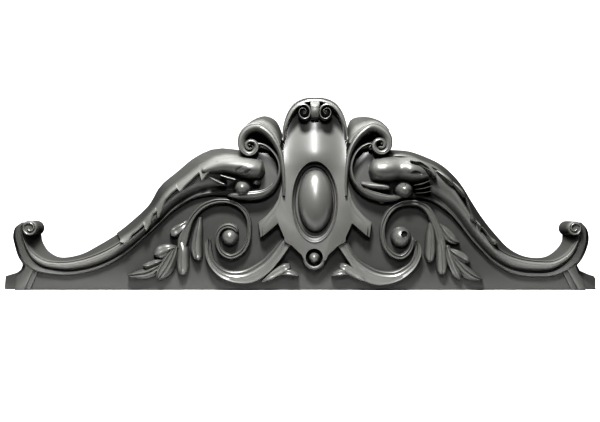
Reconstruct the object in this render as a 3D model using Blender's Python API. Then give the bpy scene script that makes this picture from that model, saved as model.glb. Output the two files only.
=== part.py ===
# Carved crest with a cartouche between two serpent mouldings: one solid with a flat back.
# The crest stands on its flat underside, fronts towards -Y, and is drawn on a sheet of small squares.

import math

import bmesh
import bpy
import numpy as np

# Overall size and the sheet that the carving is drawn on
crestLength = 0.894
squaresAcross = 596.0
square = crestLength / squaresAcross
sheetMiddle = 300.0
sheetGround = 290.0
shieldMiddle = 315.2

# The sheet shows the crest as seen from this far in front of its back, at this eye height
eyeDistance = 1.47
eyeHeight = 0.118

# How far each layer of the carving stands out from the flat back
fieldOut = 0.035
footPlateOut = 0.022
footBlockOut = 0.040
serpentEdgeOut = 0.043
serpentCrownOut = 0.053
serpentBeadOut = 0.045
serpentLeafOut = 0.056
leafLip = 0.003
serpentFullWidth = 0.020
rollOut = 0.054
webOut = 0.040
flankOut = 0.062
strapOut = 0.058
cupOut = 0.047
headOut = 0.076
ballTopOut = 0.068
budOut = 0.062
shieldOut = 0.056
shieldRise = 0.0065
stepOut = 0.051
hoodOut = 0.064
curlOut = 0.073
curlBase = 0.046
tongueOut = 0.078
ovalFloorOut = 0.044
ovalLedgeOut = 0.0495
bossOut = 0.071
armOut = 0.052
armLineOut = 0.046
pendantOut = 0.055
sprayOut = 0.050
spiralOut = 0.047
ballOut = 0.053
tipOut = 0.0565

# Small bevels, and how far the layers reach into one another
edgeBevel = 0.0012
lap = 0.005
sunkBase = 0.010
thinnest = 0.0004
sliver = 0.0001
flatAngle = 0.1

# Fineness of the facets
ringSides = 12
domeRings = 3

satinGrey = (0.105, 0.105, 0.1, 1.0)

flatTop = [(-1, 0), (-0.85, 1), (0.85, 1), (1, 0)]
roundTop = [(-1, 0), (-0.8, 0.62), (0, 1), (0.8, 0.62), (1, 0)]
ridged = [(-1, 0), (-0.7, 0.66), (0, 1), (0.7, 0.7), (1, 0)]
wallTop = [(-1, 0), (-0.9, 0.94), (-0.1, 1), (1, 0.88), (1, 0)]


def place(across, down, out, drawnOut=None):
    """The real place (x, z, out) of a point of the sheet that is seen at the depth drawnOut."""
    seen = out if drawnOut is None else drawnOut
    scale = (eyeDistance - seen) / (eyeDistance - fieldOut)
    x = (across - sheetMiddle) * square * scale
    z = eyeHeight + ((sheetGround - down) * square - eyeHeight) * scale
    return [x, z, out]


def mirrored(points):
    """Points or spine rows on the other side of the shield's middle line."""
    return [(2 * shieldMiddle - row[0],) + tuple(row[1:]) for row in points]


def smoothRows(rows, count):
    """A smooth line through rows of numbers, spaced by the distance between their first two columns."""
    rows = np.array(rows, float)
    gaps = np.linalg.norm(np.diff(rows[:, :2], axis=0), axis=1)
    at = np.concatenate([[0], np.cumsum(np.maximum(gaps, 1e-9))])
    slope = np.gradient(rows, at, axis=0)
    where = np.linspace(0, at[-1], count)
    left = np.clip(np.searchsorted(at, where, side="right") - 1, 0, len(at) - 2)
    span = (at[left + 1] - at[left])[:, None]
    t = ((where - at[left]) / span[:, 0])[:, None]
    keep = 2 * t**3 - 3 * t**2 + 1
    pull = t**3 - 2 * t**2 + t
    ahead = t**3 - t**2
    bend = span * (pull * slope[left] + ahead * slope[left + 1])
    return keep * rows[left] + (1 - keep) * rows[left + 1] + bend


def makeForm(forms, name, rings):
    """A closed body through rings of (x, z, out) points, capped at both ends."""
    rings = np.array(rings, float)
    count, sides = rings.shape[:2]
    corners = rings.reshape(-1, 3)[:, [0, 2, 1]] * (1, -1, 1)
    faces = []
    for i in range(count - 1):
        here, there = i * sides, (i + 1) * sides
        for j in range(sides):
            k = (j + 1) % sides
            faces.append((here + j, here + k, there + k, there + j))
    faces.append(tuple(range(sides))[::-1])
    faces.append(tuple(range((count - 1) * sides, count * sides)))
    mesh = bpy.data.meshes.new(name)
    mesh.from_pydata(corners.tolist(), [], faces)
    volume = 0.0
    for face in faces:
        for j in range(1, len(face) - 1):
            volume += np.linalg.det(corners[[face[0], face[j], face[j + 1]]])
    if volume < 0:
        mesh.flip_normals()
    body = bpy.data.objects.new(name, mesh)
    bpy.context.scene.collection.objects.link(body)
    body.hide_render = True
    body.display_type = "WIRE"
    forms.append(body)


def addBand(forms, name, spine, profile, count, base=0.0):
    """A band along spine rows (across, down, half width, out), with a profile of (side, height) points."""
    placed = [place(a, d, out)[:2] + [w * square, out] for a, d, w, out in spine]
    rows = smoothRows(placed, count)
    along = np.gradient(rows[:, :2], axis=0)
    along /= np.linalg.norm(along, axis=1)[:, None]
    rings = []
    for (x, z, half, out), (dx, dz) in zip(rows, along):
        half = max(half, thinnest)
        rings.append([(x - dz * half * side, z + dx * half * side, base + height * (out - base))
                      for side, height in profile])
    makeForm(forms, name, rings)


def addPlate(forms, name, outline, out, base=0.0, spread=0.0):
    """A flat plate cut to an outline, with a small bevel round its front and room to spread at its back."""
    points = np.array([place(a, d, out)[:2] for a, d in outline])
    follow = np.roll(points, -1, axis=0)
    ahead = (follow - points) / np.linalg.norm(follow - points, axis=1)[:, None]
    before = np.roll(ahead, 1, axis=0)
    turn = math.copysign(1, (points[:, 0] * follow[:, 1] - points[:, 1] * follow[:, 0]).sum())
    middle = ahead + before
    middle /= np.linalg.norm(middle, axis=1)[:, None]
    inward = np.stack([-middle[:, 1], middle[:, 0]], axis=1) * turn
    across = np.stack([-ahead[:, 1], ahead[:, 0]], axis=1)
    inward /= np.abs((inward * across).sum(1))[:, None]
    rings = []
    for shift, depth in ((-spread, base), (0, out - edgeBevel), (edgeBevel, out)):
        rings.append([(x, z, depth) for x, z in points + inward * shift])
    makeForm(forms, name, rings)


def addTurned(forms, name, middle, radii, profile, sides=ringSides, drawn=None):
    """An upright oval form: profile rows are (share of the radii, out)."""
    seen = profile[-1][1] if drawn is None else drawn
    x, z, _ = place(middle[0], middle[1], seen)
    rings = []
    for share, out in profile:
        ring = []
        for i in range(sides):
            angle = 2 * math.pi * i / sides
            ring.append((x + radii[0] * square * share * math.cos(angle),
                         z + radii[1] * square * share * math.sin(angle), out))
        rings.append(ring)
    makeForm(forms, name, rings)


def addDome(forms, name, middle, radii, out, base, sides=ringSides, rings=domeRings):
    """A rounded boss that rises from base to out, on a foot that stands in the field."""
    x, z, _ = place(middle[0], middle[1], (out + base) / 2)
    rows = []
    for level in range(rings + 1):
        lift = math.pi / 2 * level / (rings + 0.35)
        share = math.cos(lift)
        rows.append([(x + radii[0] * square * share * math.cos(2 * math.pi * i / sides),
                      z + radii[1] * square * share * math.sin(2 * math.pi * i / sides),
                      base + (out - base) * math.sin(lift)) for i in range(sides)])
    foot = [(px, pz, fieldOut - lap) for px, pz, _ in rows[0]]
    makeForm(forms, name, [foot] + rows)


def spiralRows(middle, start, end, fromAngle, turns, widths, out, count):
    """Spine rows of a volute: the radius shrinks evenly from start to end over the turns."""
    rows = []
    for i in range(count):
        share = i / (count - 1)
        angle = fromAngle + turns * 2 * math.pi * share
        radius = start + (end - start) * share
        half = widths[0] + (widths[1] - widths[0]) * share
        rows.append((middle[0] + radius * math.cos(angle), middle[1] - radius * math.sin(angle), half, out))
    return rows


def addField(forms):
    """The flat field, from foot to foot, with its top hidden in the mouldings."""
    outline = [(16, 291.5), (19, 276), (28, 270), (38, 266), (60, 267), (86, 264), (130, 240), (160, 210),
               (190, 185), (230, 180), (262, 160), (284, 150), (300, 130), (330, 130), (346, 150),
               (370, 160), (400, 180), (440, 188), (465, 214), (485, 238), (515, 263), (550, 266),
               (566, 264), (576, 270), (581, 276), (585, 291.5)]
    addPlate(forms, "field", outline, fieldOut)


def addFeet(forms):
    """Moulded feet at both ends: a wider plate behind a narrower block."""
    leftPlate = [(21.3, 259), (22.2, 262), (22.5, 266), (21, 270), (17, 273), (12, 274.5), (5.7, 276.5),
                 (4.3, 291.5), (40, 291.5), (40, 259)]
    leftBlock = [(24, 258), (25.4, 263), (25, 267), (23, 271), (20, 274), (16.5, 276.5), (14.3, 291.5),
                 (34, 291.5), (44, 266), (40, 258)]
    rightPlate = [(577, 260), (577.5, 266), (580, 271), (588, 274.5), (594, 276.5), (595.8, 279),
                  (595.8, 291.5), (560, 291.5), (560, 260)]
    rightBlock = [(576, 260), (576.5, 268), (578.5, 273), (582, 277.5), (584.5, 284), (586, 291.5),
                  (566, 291.5), (556, 266), (560, 259)]
    addPlate(forms, "footPlateLeft", leftPlate, footPlateOut)
    addPlate(forms, "footPlateRight", rightPlate, footPlateOut)
    addPlate(forms, "footBlockLeft", leftBlock, footBlockOut, base=sunkBase)
    addPlate(forms, "footBlockRight", rightBlock, footBlockOut, base=sunkBase)


# Each row is one section through a serpent, from the head to the rolled end: the back of its top,
# its upper edge, its lower bead and the foot of the bead at the back.
leftSerpent = [
    [(246, 152), (246, 158), (240, 196), (240, 199)],
    [(215, 150), (220, 158), (222, 194.3), (222, 197.5)],
    [(196, 158.5), (203, 167.5), (206, 195), (207.5, 198)],
    [(178, 173), (185, 181), (190, 200), (192, 202.5)],
    [(162, 186.5), (169, 193), (175, 209.5), (177.5, 211.5)],
    [(150, 206), (155, 211), (160, 223.3), (162.5, 225.5)],
    [(136, 219.5), (141, 227), (147, 235), (149.5, 237)],
    [(120, 232.5), (124, 239.5), (130, 250), (132, 252.5)],
    [(100, 245), (104, 251), (110, 262.7), (111.5, 265.5)],
    [(80, 255), (82, 259), (86, 270.7), (87, 273.5)],
    [(60, 257.5), (61, 262), (62, 272.7), (61, 275.5)],
    [(50, 252.5), (46, 260.4), (40, 268), (35, 272)],
    [(44.8, 246), (33, 252.4), (27.5, 256), (22, 259)],
    [(42.2, 240), (26.5, 242.5), (22.5, 243.5), (17.5, 245)],
    [(41, 234), (23.5, 234), (20, 234), (16.4, 235)],
    [(38, 229), (23.5, 229), (20.5, 227), (18.8, 228)],
    [(36, 225), (26.5, 224.5), (25, 222.8), (26, 222.6)],
]
rightSerpent = [
    [(384, 150), (384, 154), (380, 203), (380, 206)],
    [(410, 152), (408, 155.5), (402, 197), (401, 200.5)],
    [(427, 158), (424, 162), (419, 197.8), (418, 201)],
    [(440, 164.4), (437, 168), (430, 200.5), (428, 203)],
    [(453, 175.3), (449, 178.5), (443, 208.2), (440.5, 210.5)],
    [(462.3, 186.7), (458, 190), (452, 216), (449.5, 218.5)],
    [(471, 201), (466.5, 204), (460, 225.2), (457.5, 227.5)],
    [(483.5, 220), (478, 223), (470, 238), (467.5, 240)],
    [(496, 235.5), (490, 239), (481, 250), (479, 252.5)],
    [(509, 248.8), (504, 252), (493, 261.2), (491, 264)],
    [(524, 256.5), (522, 258.5), (512, 271.8), (510.5, 274.5)],
    [(538, 258.2), (538, 260.8), (534, 274.7), (534, 277.5)],
    [(549, 255.5), (554, 260.5), (555, 272), (557, 275)],
    [(557.5, 248.5), (566, 254.5), (571, 261), (575, 265)],
    [(562, 241), (574.5, 244), (579.5, 247), (584.3, 248)],
    [(562.5, 235), (578.5, 235), (581.5, 235.5), (585.9, 236.5)],
    [(563.5, 229.5), (579, 229), (581.5, 227.5), (583.3, 229)],
    [(566, 225), (576, 224.3), (577.5, 222.8), (577.5, 222.6)],
]


def serpentRails(sections, count):
    """Smooth rails through the four drawn points of each section, in real places."""
    depths = (0.0, serpentEdgeOut, serpentBeadOut, 0.0)
    flat = []
    for section in sections:
        row = []
        for (across, down), out in zip(section, depths):
            row += place(across, down, out)
        flat.append(row)
    flat = np.array(flat)
    order = [3, 4] + [i for i in range(12) if i not in (3, 4)]
    back = np.argsort(order)
    rows = smoothRows(flat[:, order], count)[:, back]
    return rows.reshape(-1, 4, 3)


def addSerpent(forms, name, sections, count):
    """A moulding with a sloping top, a rounded face and a bead along its lower edge."""
    rings = []
    for top, edge, bead, foot in serpentRails(sections, count):
        across = bead - edge
        narrow = min(1.0, np.linalg.norm(across[:2]) / serpentFullWidth)
        rise = (serpentCrownOut - serpentEdgeOut) * narrow
        groove = serpentBeadOut - (serpentCrownOut - serpentBeadOut) / 2 * narrow
        middle = (serpentEdgeOut + rise + groove) / 2
        ring = [top, edge]
        for share, out in ((0.14, serpentEdgeOut + rise * 0.72), (0.38, serpentEdgeOut + rise),
                           (0.68, middle),
                           (0.87, groove)):
            ring.append(np.append((edge + across * share)[:2], out))
        ring += [bead, np.append(bead[:2] * 0.25 + foot[:2] * 0.75, fieldOut - lap), np.append(foot[:2],
                                                                                               0.0)]
        rings.append(ring)
    makeForm(forms, name, rings)


def addRoll(forms, name, front, back, radii):
    """The rolled end of a serpent: a short drum with a spiral of steps on its face."""
    rings = []
    for (across, down), radius, out in ((back, radii[1], 0.0), (front, radii[0], rollOut - edgeBevel),
                                        (front, radii[0] * 0.83, rollOut),
                                        (front, radii[0] * 0.64, rollOut - edgeBevel * 2),
                                        (front, radii[0] * 0.5, rollOut - edgeBevel * 2),
                                        (front, radii[0] * 0.1, rollOut)):
        x, z, _ = place(across, down, out)
        rings.append([(x + radius * square * math.cos(2 * math.pi * i / ringSides),
                       z + radius * square * math.sin(2 * math.pi * i / ringSides), out)
                      for i in range(ringSides)])
    makeForm(forms, name, rings)


def addSerpentLeaf(forms, name, sections, ragged):
    """A thin leaf that wraps a serpent's top and ends in a ragged edge on its face."""
    rails = serpentRails(sections, 400)[::-1]
    rings = []
    near = -1
    for across, down in ragged:
        x, z, out = place(across, down, serpentLeafOut)
        near = max(near + 2, int(np.argmin(np.hypot(rails[:, 1, 0] - x, rails[:, 1, 1] - z))))
        top, edge, bead, _ = rails[near]
        away = (top - bead)[:2] / np.linalg.norm((top - bead)[:2])
        short = leafLip - float(np.dot(edge[:2] - (x, z), away))
        if short > 0:
            x, z = np.array([x, z]) - away * short
        rings.append([
            np.append(top[:2] + away * leafLip * 0.2, 0.0),
            np.append(top[:2] + away * leafLip * 0.4, leafLip),
            np.append(edge[:2] + away * leafLip * 0.7, serpentEdgeOut + leafLip),
            np.append([x, z] + away * leafLip * 0.7, out - leafLip * 0.35),
            [x, z, out - leafLip * 0.7],
            np.append([x, z] + away * leafLip * 0.5, serpentEdgeOut - lap),
            np.append(edge[:2], 0.0),
        ])
    makeForm(forms, name, rings)


leftRagged = [(123, 238), (128, 234), (133, 230.5), (138, 225.5), (145, 220.5), (148, 223.5), (151, 219),
              (154.5, 211), (157.5, 207), (161, 202), (164, 196.5), (168, 197), (171.5, 191), (176, 191),
              (180, 184), (186, 184), (190, 177), (196, 176.5), (199.5, 170.5), (206, 177), (211, 171),
              (217.5, 162.5), (226, 171.5), (234, 174), (241, 172)]


def addLeaves(forms, name, spines, out, base):
    """Leaves and fingers along spines (across, down, half width), lower at both ends."""
    for index, spine in enumerate(spines):
        last = len(spine) - 1
        rows = [row + (out - (lap if i in (0, last) else 0.0),) for i, row in enumerate(spine)]
        addBand(forms, f"{name}{index}", rows, ridged, 5, base=base)


leftSpray = [
    [(186, 224.5, 1.5), (181, 227.8, 3.4), (176.5, 230.8, 4.4), (172.5, 233.5, 4), (170.3, 235, 1.8)],
    [(175.5, 247.5, 1.5), (169, 249.3, 4.2), (163, 251.5, 5.8), (157.5, 253.8, 5.2), (153.8, 255.2, 1.8)],
    [(163, 261, 1.5), (156, 262.8, 2.6), (150, 265.3, 3.2), (145.5, 266.3, 2.6), (142.5, 265.5, 0.8)],
    [(164, 264, 2), (155, 270, 4.2), (146, 274, 4.6), (137, 275.3, 3.4), (127.3, 275.6, 0.6)],
    [(176, 246, 2.5), (171.5, 256, 5.5), (166.5, 265, 7), (162, 272, 6.8), (157.5, 280, 1.8)],
    [(180, 240, 3), (182.2, 250, 5), (182, 262, 5.5), (182.2, 270, 5), (182, 275.8, 1.8)],
    [(199.3, 220, 0.8), (197.6, 231, 3), (196, 243, 5), (196, 254, 5.2), (198, 261.3, 1.8)],
]
rightSpray = [
    [(440, 224.5, 1), (445, 231, 4), (450, 237, 5), (455, 241, 3.6), (460.3, 243, 0.8)],
    [(449, 249.5, 1.5), (456, 253.8, 3.8), (463, 258, 4.4), (470.3, 262.4, 1.6)],
    [(453, 257, 2), (460, 265.5, 4.6), (467, 272.5, 5), (474, 277, 3.6), (483.8, 279.7, 0.6)],
    [(447, 245, 2.5), (450.3, 256, 4), (454.5, 267, 4.4), (458, 274.5, 3.8), (461, 280.3, 0.8)],
    [(440.5, 236, 3.5), (442, 248, 4.7), (442.8, 260, 5), (443, 269, 4.8), (442.5, 275.5, 1.8)],
    [(432.5, 228, 2), (432, 240, 4), (431.5, 250, 4.9), (431, 257, 4.6), (431, 263.3, 1.4)],
]
bottomTips = [
    [(261.5, 282.3, 0.6), (267, 279.4, 2.2), (274, 274.8, 3.6), (281, 270.6, 4.1), (290.8, 266.6, 1.4)],
    [(281, 274, 1.5), (287, 272.8, 3), (293, 274, 2.2), (299, 276.3, 0.6)],
]
rightFingers = [
    [(414, 162, 2), (424, 167, 4), (432, 172.5, 4), (437, 178.5, 1)],
    [(430, 166, 2), (440, 172.5, 4), (449, 180, 4), (455.5, 186, 1)],
    [(447, 177, 2), (456.5, 185, 4), (463.5, 194, 3.4), (467.5, 201, 1)],
    [(460, 190, 2), (467.5, 203, 4), (472.5, 214, 3), (475, 222, 1)],
    [(473, 213, 2), (480, 224, 3.4), (486, 232, 3), (490.5, 239, 1)],
    [(485, 229, 1.5), (492, 237.5, 3), (498, 243, 2.6), (503, 248, 0.8)],
]


def addSprays(forms):
    """Leaf sprays beside the spirals, the tips below the shield and the fingers on the right serpent."""
    base = fieldOut - lap
    addLeaves(forms, "leftSpray", leftSpray, sprayOut, base)
    addLeaves(forms, "rightSpray", rightSpray, sprayOut, base)
    addLeaves(forms, "leftTip", bottomTips, tipOut, base)
    addLeaves(forms, "rightTip", [mirrored(spine) for spine in bottomTips], tipOut, base)
    addLeaves(forms, "finger", rightFingers, serpentLeafOut, base)


leftStalk = [(181, 250, 4), (182.8, 240, 5), (186.6, 230, 3.9), (190.7, 221, 2.9), (196.2, 213, 2.5),
             (203.7, 206.3, 2.6), (212.3, 202.5, 2.5), (221, 201, 2.4), (231, 202.3, 2.3), (241, 207.5,
                                                                                            2.2),
             (247.7, 217.5, 2.2), (249.3, 231, 2.2), (247, 244.5, 2.3), (240.5, 253.3, 2.4), (230.5,
                                                                                              257.2, 2.4),
             (221.8, 253, 2.3), (217.4, 243, 2.2), (218.2, 233.5, 2.3), (222.8, 228, 2.5), (229.3, 226.5,
                                                                                            2.6),
             (235, 229, 2.3), (238.3, 234, 1.4)]
rightStalk = [(443, 250, 4.2), (441, 240, 4.4), (437.7, 229, 4), (433, 218, 3.8), (427.5, 209.5, 3.4),
              (420, 204.2, 3), (411, 202.9, 2.8), (402, 204, 2.7), (393, 208.8, 2.6), (386.6, 217.5, 2.6),
              (383, 229, 2.7), (383.6, 240.5, 2.6), (388.3, 250.8, 2.6), (394.5, 256, 2.5), (402, 257.3,
                                                                                             2.5),
              (408.5, 253, 2.4), (412.3, 245.5, 2), (413, 237, 1.2)]


def addSpirals(forms):
    """A stalk that winds into a spiral round a ball, on each side."""
    for name, stalk, ball, radius in (("left", leftStalk, (229.8, 237.3), 7.6),
                                      ("right", rightStalk, (401.3, 237.5), 9.2)):
        rows = [row + (spiralOut,) for row in stalk]
        addBand(forms, name + "Stalk", rows, roundTop, 26, base=fieldOut - lap)
        addDome(forms, name + "Ball", ball, (radius, radius), ballOut, fieldOut, sides=14)


# Sections of the lower arms: outer edge, raised line and inner line
leftArm = [
    [(293, 242), (284.5, 240), (283.5, 238)],
    [(281, 259.5), (273, 256), (269.5, 254.5)],
    [(266, 276), (262, 266.5), (258, 264)],
    [(250, 283.5), (247, 274.8), (245, 270.7)],
    [(234, 282.8), (234, 276.4), (234, 272.3)],
    [(219, 276.5), (221.5, 272.8), (224, 270)],
    [(208.5, 264), (211.8, 263), (215, 262)],
    [(205, 251), (207.8, 251), (211.3, 251)],
    [(206.5, 240.5), (208.5, 240.5), (210.5, 241.5)],
    [(208.5, 238.6), (209.3, 238.5), (210, 238.9)],
]
rightArm = [
    [(335, 242), (344.5, 240), (345.5, 238)],
    [(347, 260), (353, 257), (356.5, 257.5)],
    [(361, 279), (366, 269), (369.5, 267)],
    [(376, 285.3), (378, 274.5), (380, 271.5)],
    [(393, 283.5), (393.5, 276), (393, 272.3)],
    [(408, 275.7), (405, 271.5), (402, 269)],
    [(418, 264), (414.5, 263), (411, 262)],
    [(421.6, 250), (418.8, 250.5), (415, 250.5)],
    [(418.5, 242.5), (417.3, 242.8), (416, 244)],
    [(417, 241), (416.4, 241), (415.8, 241.6)],
]


def addArm(forms, name, sections, count):
    """A lower arm that sweeps out of the shield into a C scroll and ends in a crescent tip."""
    flat = []
    for section in sections:
        row = []
        for across, down in section:
            row += place(across, down, armOut)
        flat.append(row)
    base = fieldOut - lap
    rings = []
    for outer, line, inner in smoothRows(flat, count).reshape(-1, 3, 3):
        ledge = inner - line
        rings.append([
            np.append(outer[:2], base),
            outer - (0, 0, edgeBevel),
            line,
            np.append((line + ledge * 0.3)[:2], armLineOut),
            np.append((line + ledge * 0.9)[:2], armLineOut),
            np.append((line + ledge * 1.3)[:2], base),
        ])
    makeForm(forms, name, rings)


leftFlank = [(283.6, 196, 1.4), (283.6, 183, 1.6), (282.6, 168, 2), (280, 154, 2.5), (274.5, 142, 3.2),
             (266.5, 132.5, 4), (257, 127.5, 4.6), (248, 130, 4.5), (242.5, 137, 4)]
leftVolute = (250.3, 146.3)
rightFlank = [(346.8, 196, 1.4), (346.6, 183, 1.6), (347.6, 168, 2), (350, 154, 2.5), (355.5, 142, 3.2),
              (363.5, 132.5, 4), (373, 127.2, 4.6), (382, 130.5, 4.5), (388, 137.5, 4)]
rightVolute = (380.8, 145)
leftStrap = [(226, 196, 1.6), (238, 196.5, 3.6), (250, 196.2, 4.6), (262, 194.6, 4.6), (271.5, 189.5, 3.6),
             (278, 180.5, 2.6), (280.3, 170, 1.9), (278, 159, 1.6), (271.5, 150, 1.4), (263, 144.2, 1.2),
             (256, 143.4, 1.2)]
rightStrap = [(404, 197.5, 1.6), (392, 199, 3.4), (380, 197.6, 4.4), (368.5, 193.8, 4.4), (359, 187.5, 3.4),
              (353, 179.5, 2.6), (351, 170, 1.9), (352.6, 160, 1.6), (357.5, 151, 1.4), (364.5, 145.2, 1.2),
              (370.5, 143.6, 1.2)]


# Pairs along the top of a flank scroll: a point of its front edge and one of its back edge
leftCrown = [
    [(241.5, 133.5), (245, 127)], [(248, 126), (253, 121)], [(257, 123), (261, 117)], [(265, 125),
                                                                                       (267.5, 116.8)],
    [(271, 129.5), (273.5, 119.2)], [(276, 136.5), (279, 125.5)], [(280, 146), (283, 136)],
]
rightCrown = [
    [(349, 143), (346.8, 131)], [(353.5, 135), (350, 121)], [(360, 129), (357, 117.8)], [(368, 125),
                                                                                         (366.5, 117.3)],
    [(376.5, 123), (375.5, 119.3)], [(384, 126), (382.5, 123)], [(389.5, 132), (388.5, 129)],
]
leftWeb = [(243, 150), (241, 138), (246, 130), (256, 124), (266, 124), (275, 130), (281, 138), (284, 148),
           (286, 190), (270, 196), (252, 192), (248, 160)]
rightWeb = [(388, 150), (390, 140), (386, 131), (376, 125), (366, 124), (355, 131), (349.5, 138),
            (346.5, 148),
            (344.5, 190), (360, 196), (378, 192), (384, 160)]


def addFlank(forms, name, flank, volute, strap, curl, curlRadius, way):
    """A flank scroll with its volute and the strap that runs down to the head."""
    rows = [row + (flankOut,) for row in flank]
    start = math.radians(180 if way > 0 else 0)
    rows += spiralRows(volute, 8.2, 1.6, start, 1.45 * way, (3.4, 1.3), flankOut, 14)[1:]
    addBand(forms, name + "Scroll", rows, wallTop, 24)
    addBand(forms, name + "Strap", [row + (strapOut,) for row in strap], roundTop, 18, base=fieldOut - lap)
    addDome(forms, name + "StrapCurl", curl, (curlRadius, curlRadius), strapOut, webOut, sides=10)
    addDome(forms, name + "Eye", volute, (2.6, 2.6), flankOut + edgeBevel, webOut, sides=10)


def addCrown(forms, name, pairs, hub):
    """The top of a flank scroll, which slopes up from its front edge to its back edge."""
    edge = flankOut - edgeBevel
    rings = []
    for front, back in pairs:
        ring = []
        for (across, down), out, share in ((front, edge, 0.0), (back, 0.0, 0.0), (back, 0.0, 0.45),
                                           (front, edge, 0.12)):
            ring.append(place(across + (hub[0] - across) * share, down + (hub[1] - down) * share, out))
        rings.append(ring)
    makeForm(forms, name, rings)


def addFlanks(forms):
    """The two flank scrolls with the webs behind them."""
    addPlate(forms, "leftWeb", leftWeb, webOut, spread=edgeBevel)
    addPlate(forms, "rightWeb", rightWeb, webOut, spread=edgeBevel)
    addCrown(forms, "leftCrown", leftCrown, (266, 150))
    addCrown(forms, "rightCrown", rightCrown, (364, 150))
    addFlank(forms, "left", leftFlank, leftVolute, leftStrap, (251.5, 147.2), 4.4, 1)
    addFlank(forms, "right", rightFlank, rightVolute, rightStrap, (371.2, 147.2), 3.4, -1)


# The bulbs of the heads: (across, down, half width, how far below the full height)
leftBulb = [(203, 172, 4, 0.018), (214, 168, 8, 0.013), (226, 165.8, 9.6, 0.007), (238, 166, 10.6, 0.003),
            (249, 167.6, 11.4, 0), (257, 169.3, 10.4, 0.003), (262, 170.6, 7, 0.010), (264.5, 171.3, 2.5,
                                                                                       0.018)]
rightBulb = [(371.5, 171, 3, 0.016), (376, 170.6, 9, 0.006), (384, 170, 11.8, 0.001),
             (393, 169.5, 12.4, 0.001),
             (402, 170, 11.6, 0.003), (411, 170.5, 12, 0.0015), (420, 171.5, 11.2, 0.003),
             (427, 173.5, 8.6, 0.010), (431.5, 176, 3, 0.020)]
rightLip = [(366, 181, 2), (376, 181.5, 3.6), (385, 184, 3.6), (390.5, 188, 1.8)]


def addHeads(forms):
    """The leaf heads: curled bulbs over a cup, with a ball and a bud or a lip under them."""
    leftCup = [(236, 160), (256, 152), (268, 153), (276, 161), (279, 170), (277, 180), (268, 190),
               (250, 194),
               (236, 192), (230, 180)]
    rightCup = [(396, 160), (376, 151), (364, 152), (355, 161), (352, 172), (355, 182), (364, 191),
                (380, 196),
                (396, 196), (404, 180)]
    addPlate(forms, "leftCup", leftCup, cupOut, base=sunkBase)
    addPlate(forms, "rightCup", rightCup, cupOut, base=sunkBase)
    base = cupOut - lap
    for name, bulb in (("leftBulb", leftBulb), ("rightBulb", rightBulb)):
        rows = [(across, down, half, headOut - drop) for across, down, half, drop in bulb]
        addBand(forms, name, rows, roundTop, 11, base=base)
    addDome(forms, "leftBall", (242.8, 188.3), (8.2, 8.2), ballTopOut, base)
    addDome(forms, "leftBud", (256.3, 182.7), (4.2, 3.6), budOut, base, sides=8)
    addDome(forms, "rightBall", (404, 190), (8.8, 8.2), ballTopOut, base)
    rows = [row + (budOut,) for row in rightLip]
    addBand(forms, "rightLip", rows, roundTop, 7, base=base)


# Half outlines from the crown down to the pendant: (distance from the middle line, down)
shieldSide = [(9, 98.5), (15.5, 101), (20, 104.6), (25, 110.8), (28.5, 118), (30.2, 125), (31, 133),
              (31.3, 142),
              (31.2, 160), (31.2, 184)]
bodySide = [(31, 180), (31.4, 185), (33.8, 195), (36.6, 204.5), (40.5, 213.2), (46, 219.8), (53.2, 227),
            (52, 236.6), (37.2, 224), (31, 238), (31, 242), (23.2, 246.3), (13.5, 255.5), (10.8, 261)]
stepSide = [(31, 168), (32, 177), (33.6, 186), (37, 199.5), (41.6, 207.7), (48, 215.5), (57, 222.8),
            (54.6, 238.2), (37.5, 223.2), (31, 214)]


def bothSides(half):
    """A closed outline from its right half."""
    right = [(shieldMiddle + reach, down) for reach, down in half]
    left = [(shieldMiddle - reach, down) for reach, down in reversed(half) if reach > 0]
    return right + left


def addShield(forms):
    """The shield: an arched face with a rounded middle ridge, on a stepped body with ears."""
    rows = smoothRows([(down, reach) for reach, down in shieldSide], 11)
    shares = (-1, -0.8, -0.55, -0.3, 0, 0.3, 0.55, 0.8, 1)
    lifts = (0.0, 0.0, 0.22, 0.7, 1.0, 0.7, 0.22, 0.0, 0.0)
    rings = []
    for down, reach in rows:
        fade = min(1.0, max(0.0, (180 - down) / 30)) * min(1.0, (down - 96) / 12)
        ring = [place(shieldMiddle + reach * share, down, shieldOut + shieldRise * lift * fade)
                for share, lift in zip(shares, lifts)]
        ring.append(place(shieldMiddle + reach, down, 0.0, fieldOut))
        ring.append(place(shieldMiddle - reach, down, 0.0, fieldOut))
        rings.append(ring)
    makeForm(forms, "shieldFace", rings)
    addPlate(forms, "shieldBody", bothSides(bodySide), shieldOut, base=sunkBase)
    addPlate(forms, "shieldStep", bothSides(stepSide), stepOut, base=sunkBase)


hoodRim = [(283.6, 141, 0.9), (283.9, 131, 1.2), (286.4, 121, 1.7), (290.8, 111.8, 2.3),
           (297.2, 104.6, 2.6),
           (305.2, 100.7, 2.3), (315.2, 100, 1.8)]
hoodCurl = [(286.6, 127, 0.9), (290, 117.5, 1.3), (294.6, 110, 1.7), (300, 105.7, 1.9), (305.4, 105.1, 1.9),
            (309.2, 108.4, 1.8), (310.3, 113.3, 1.7), (308.4, 117.7, 1.6), (304.4, 118.9, 1.5), (300.6,
                                                                                                 116.7,
                                                                                                 1.4),
            (299.3, 112.4, 1.3), (301.1, 109, 1.2), (304.4, 108.6, 1.1)]
tongueRows = [(4.4, 101.6, 0.012), (4.4, 104, 0.003), (4.1, 109, 0.0003), (3.9, 114, 0.001),
              (4, 118, 0.004),
              (3.2, 120.2, 0.010)]


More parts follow.
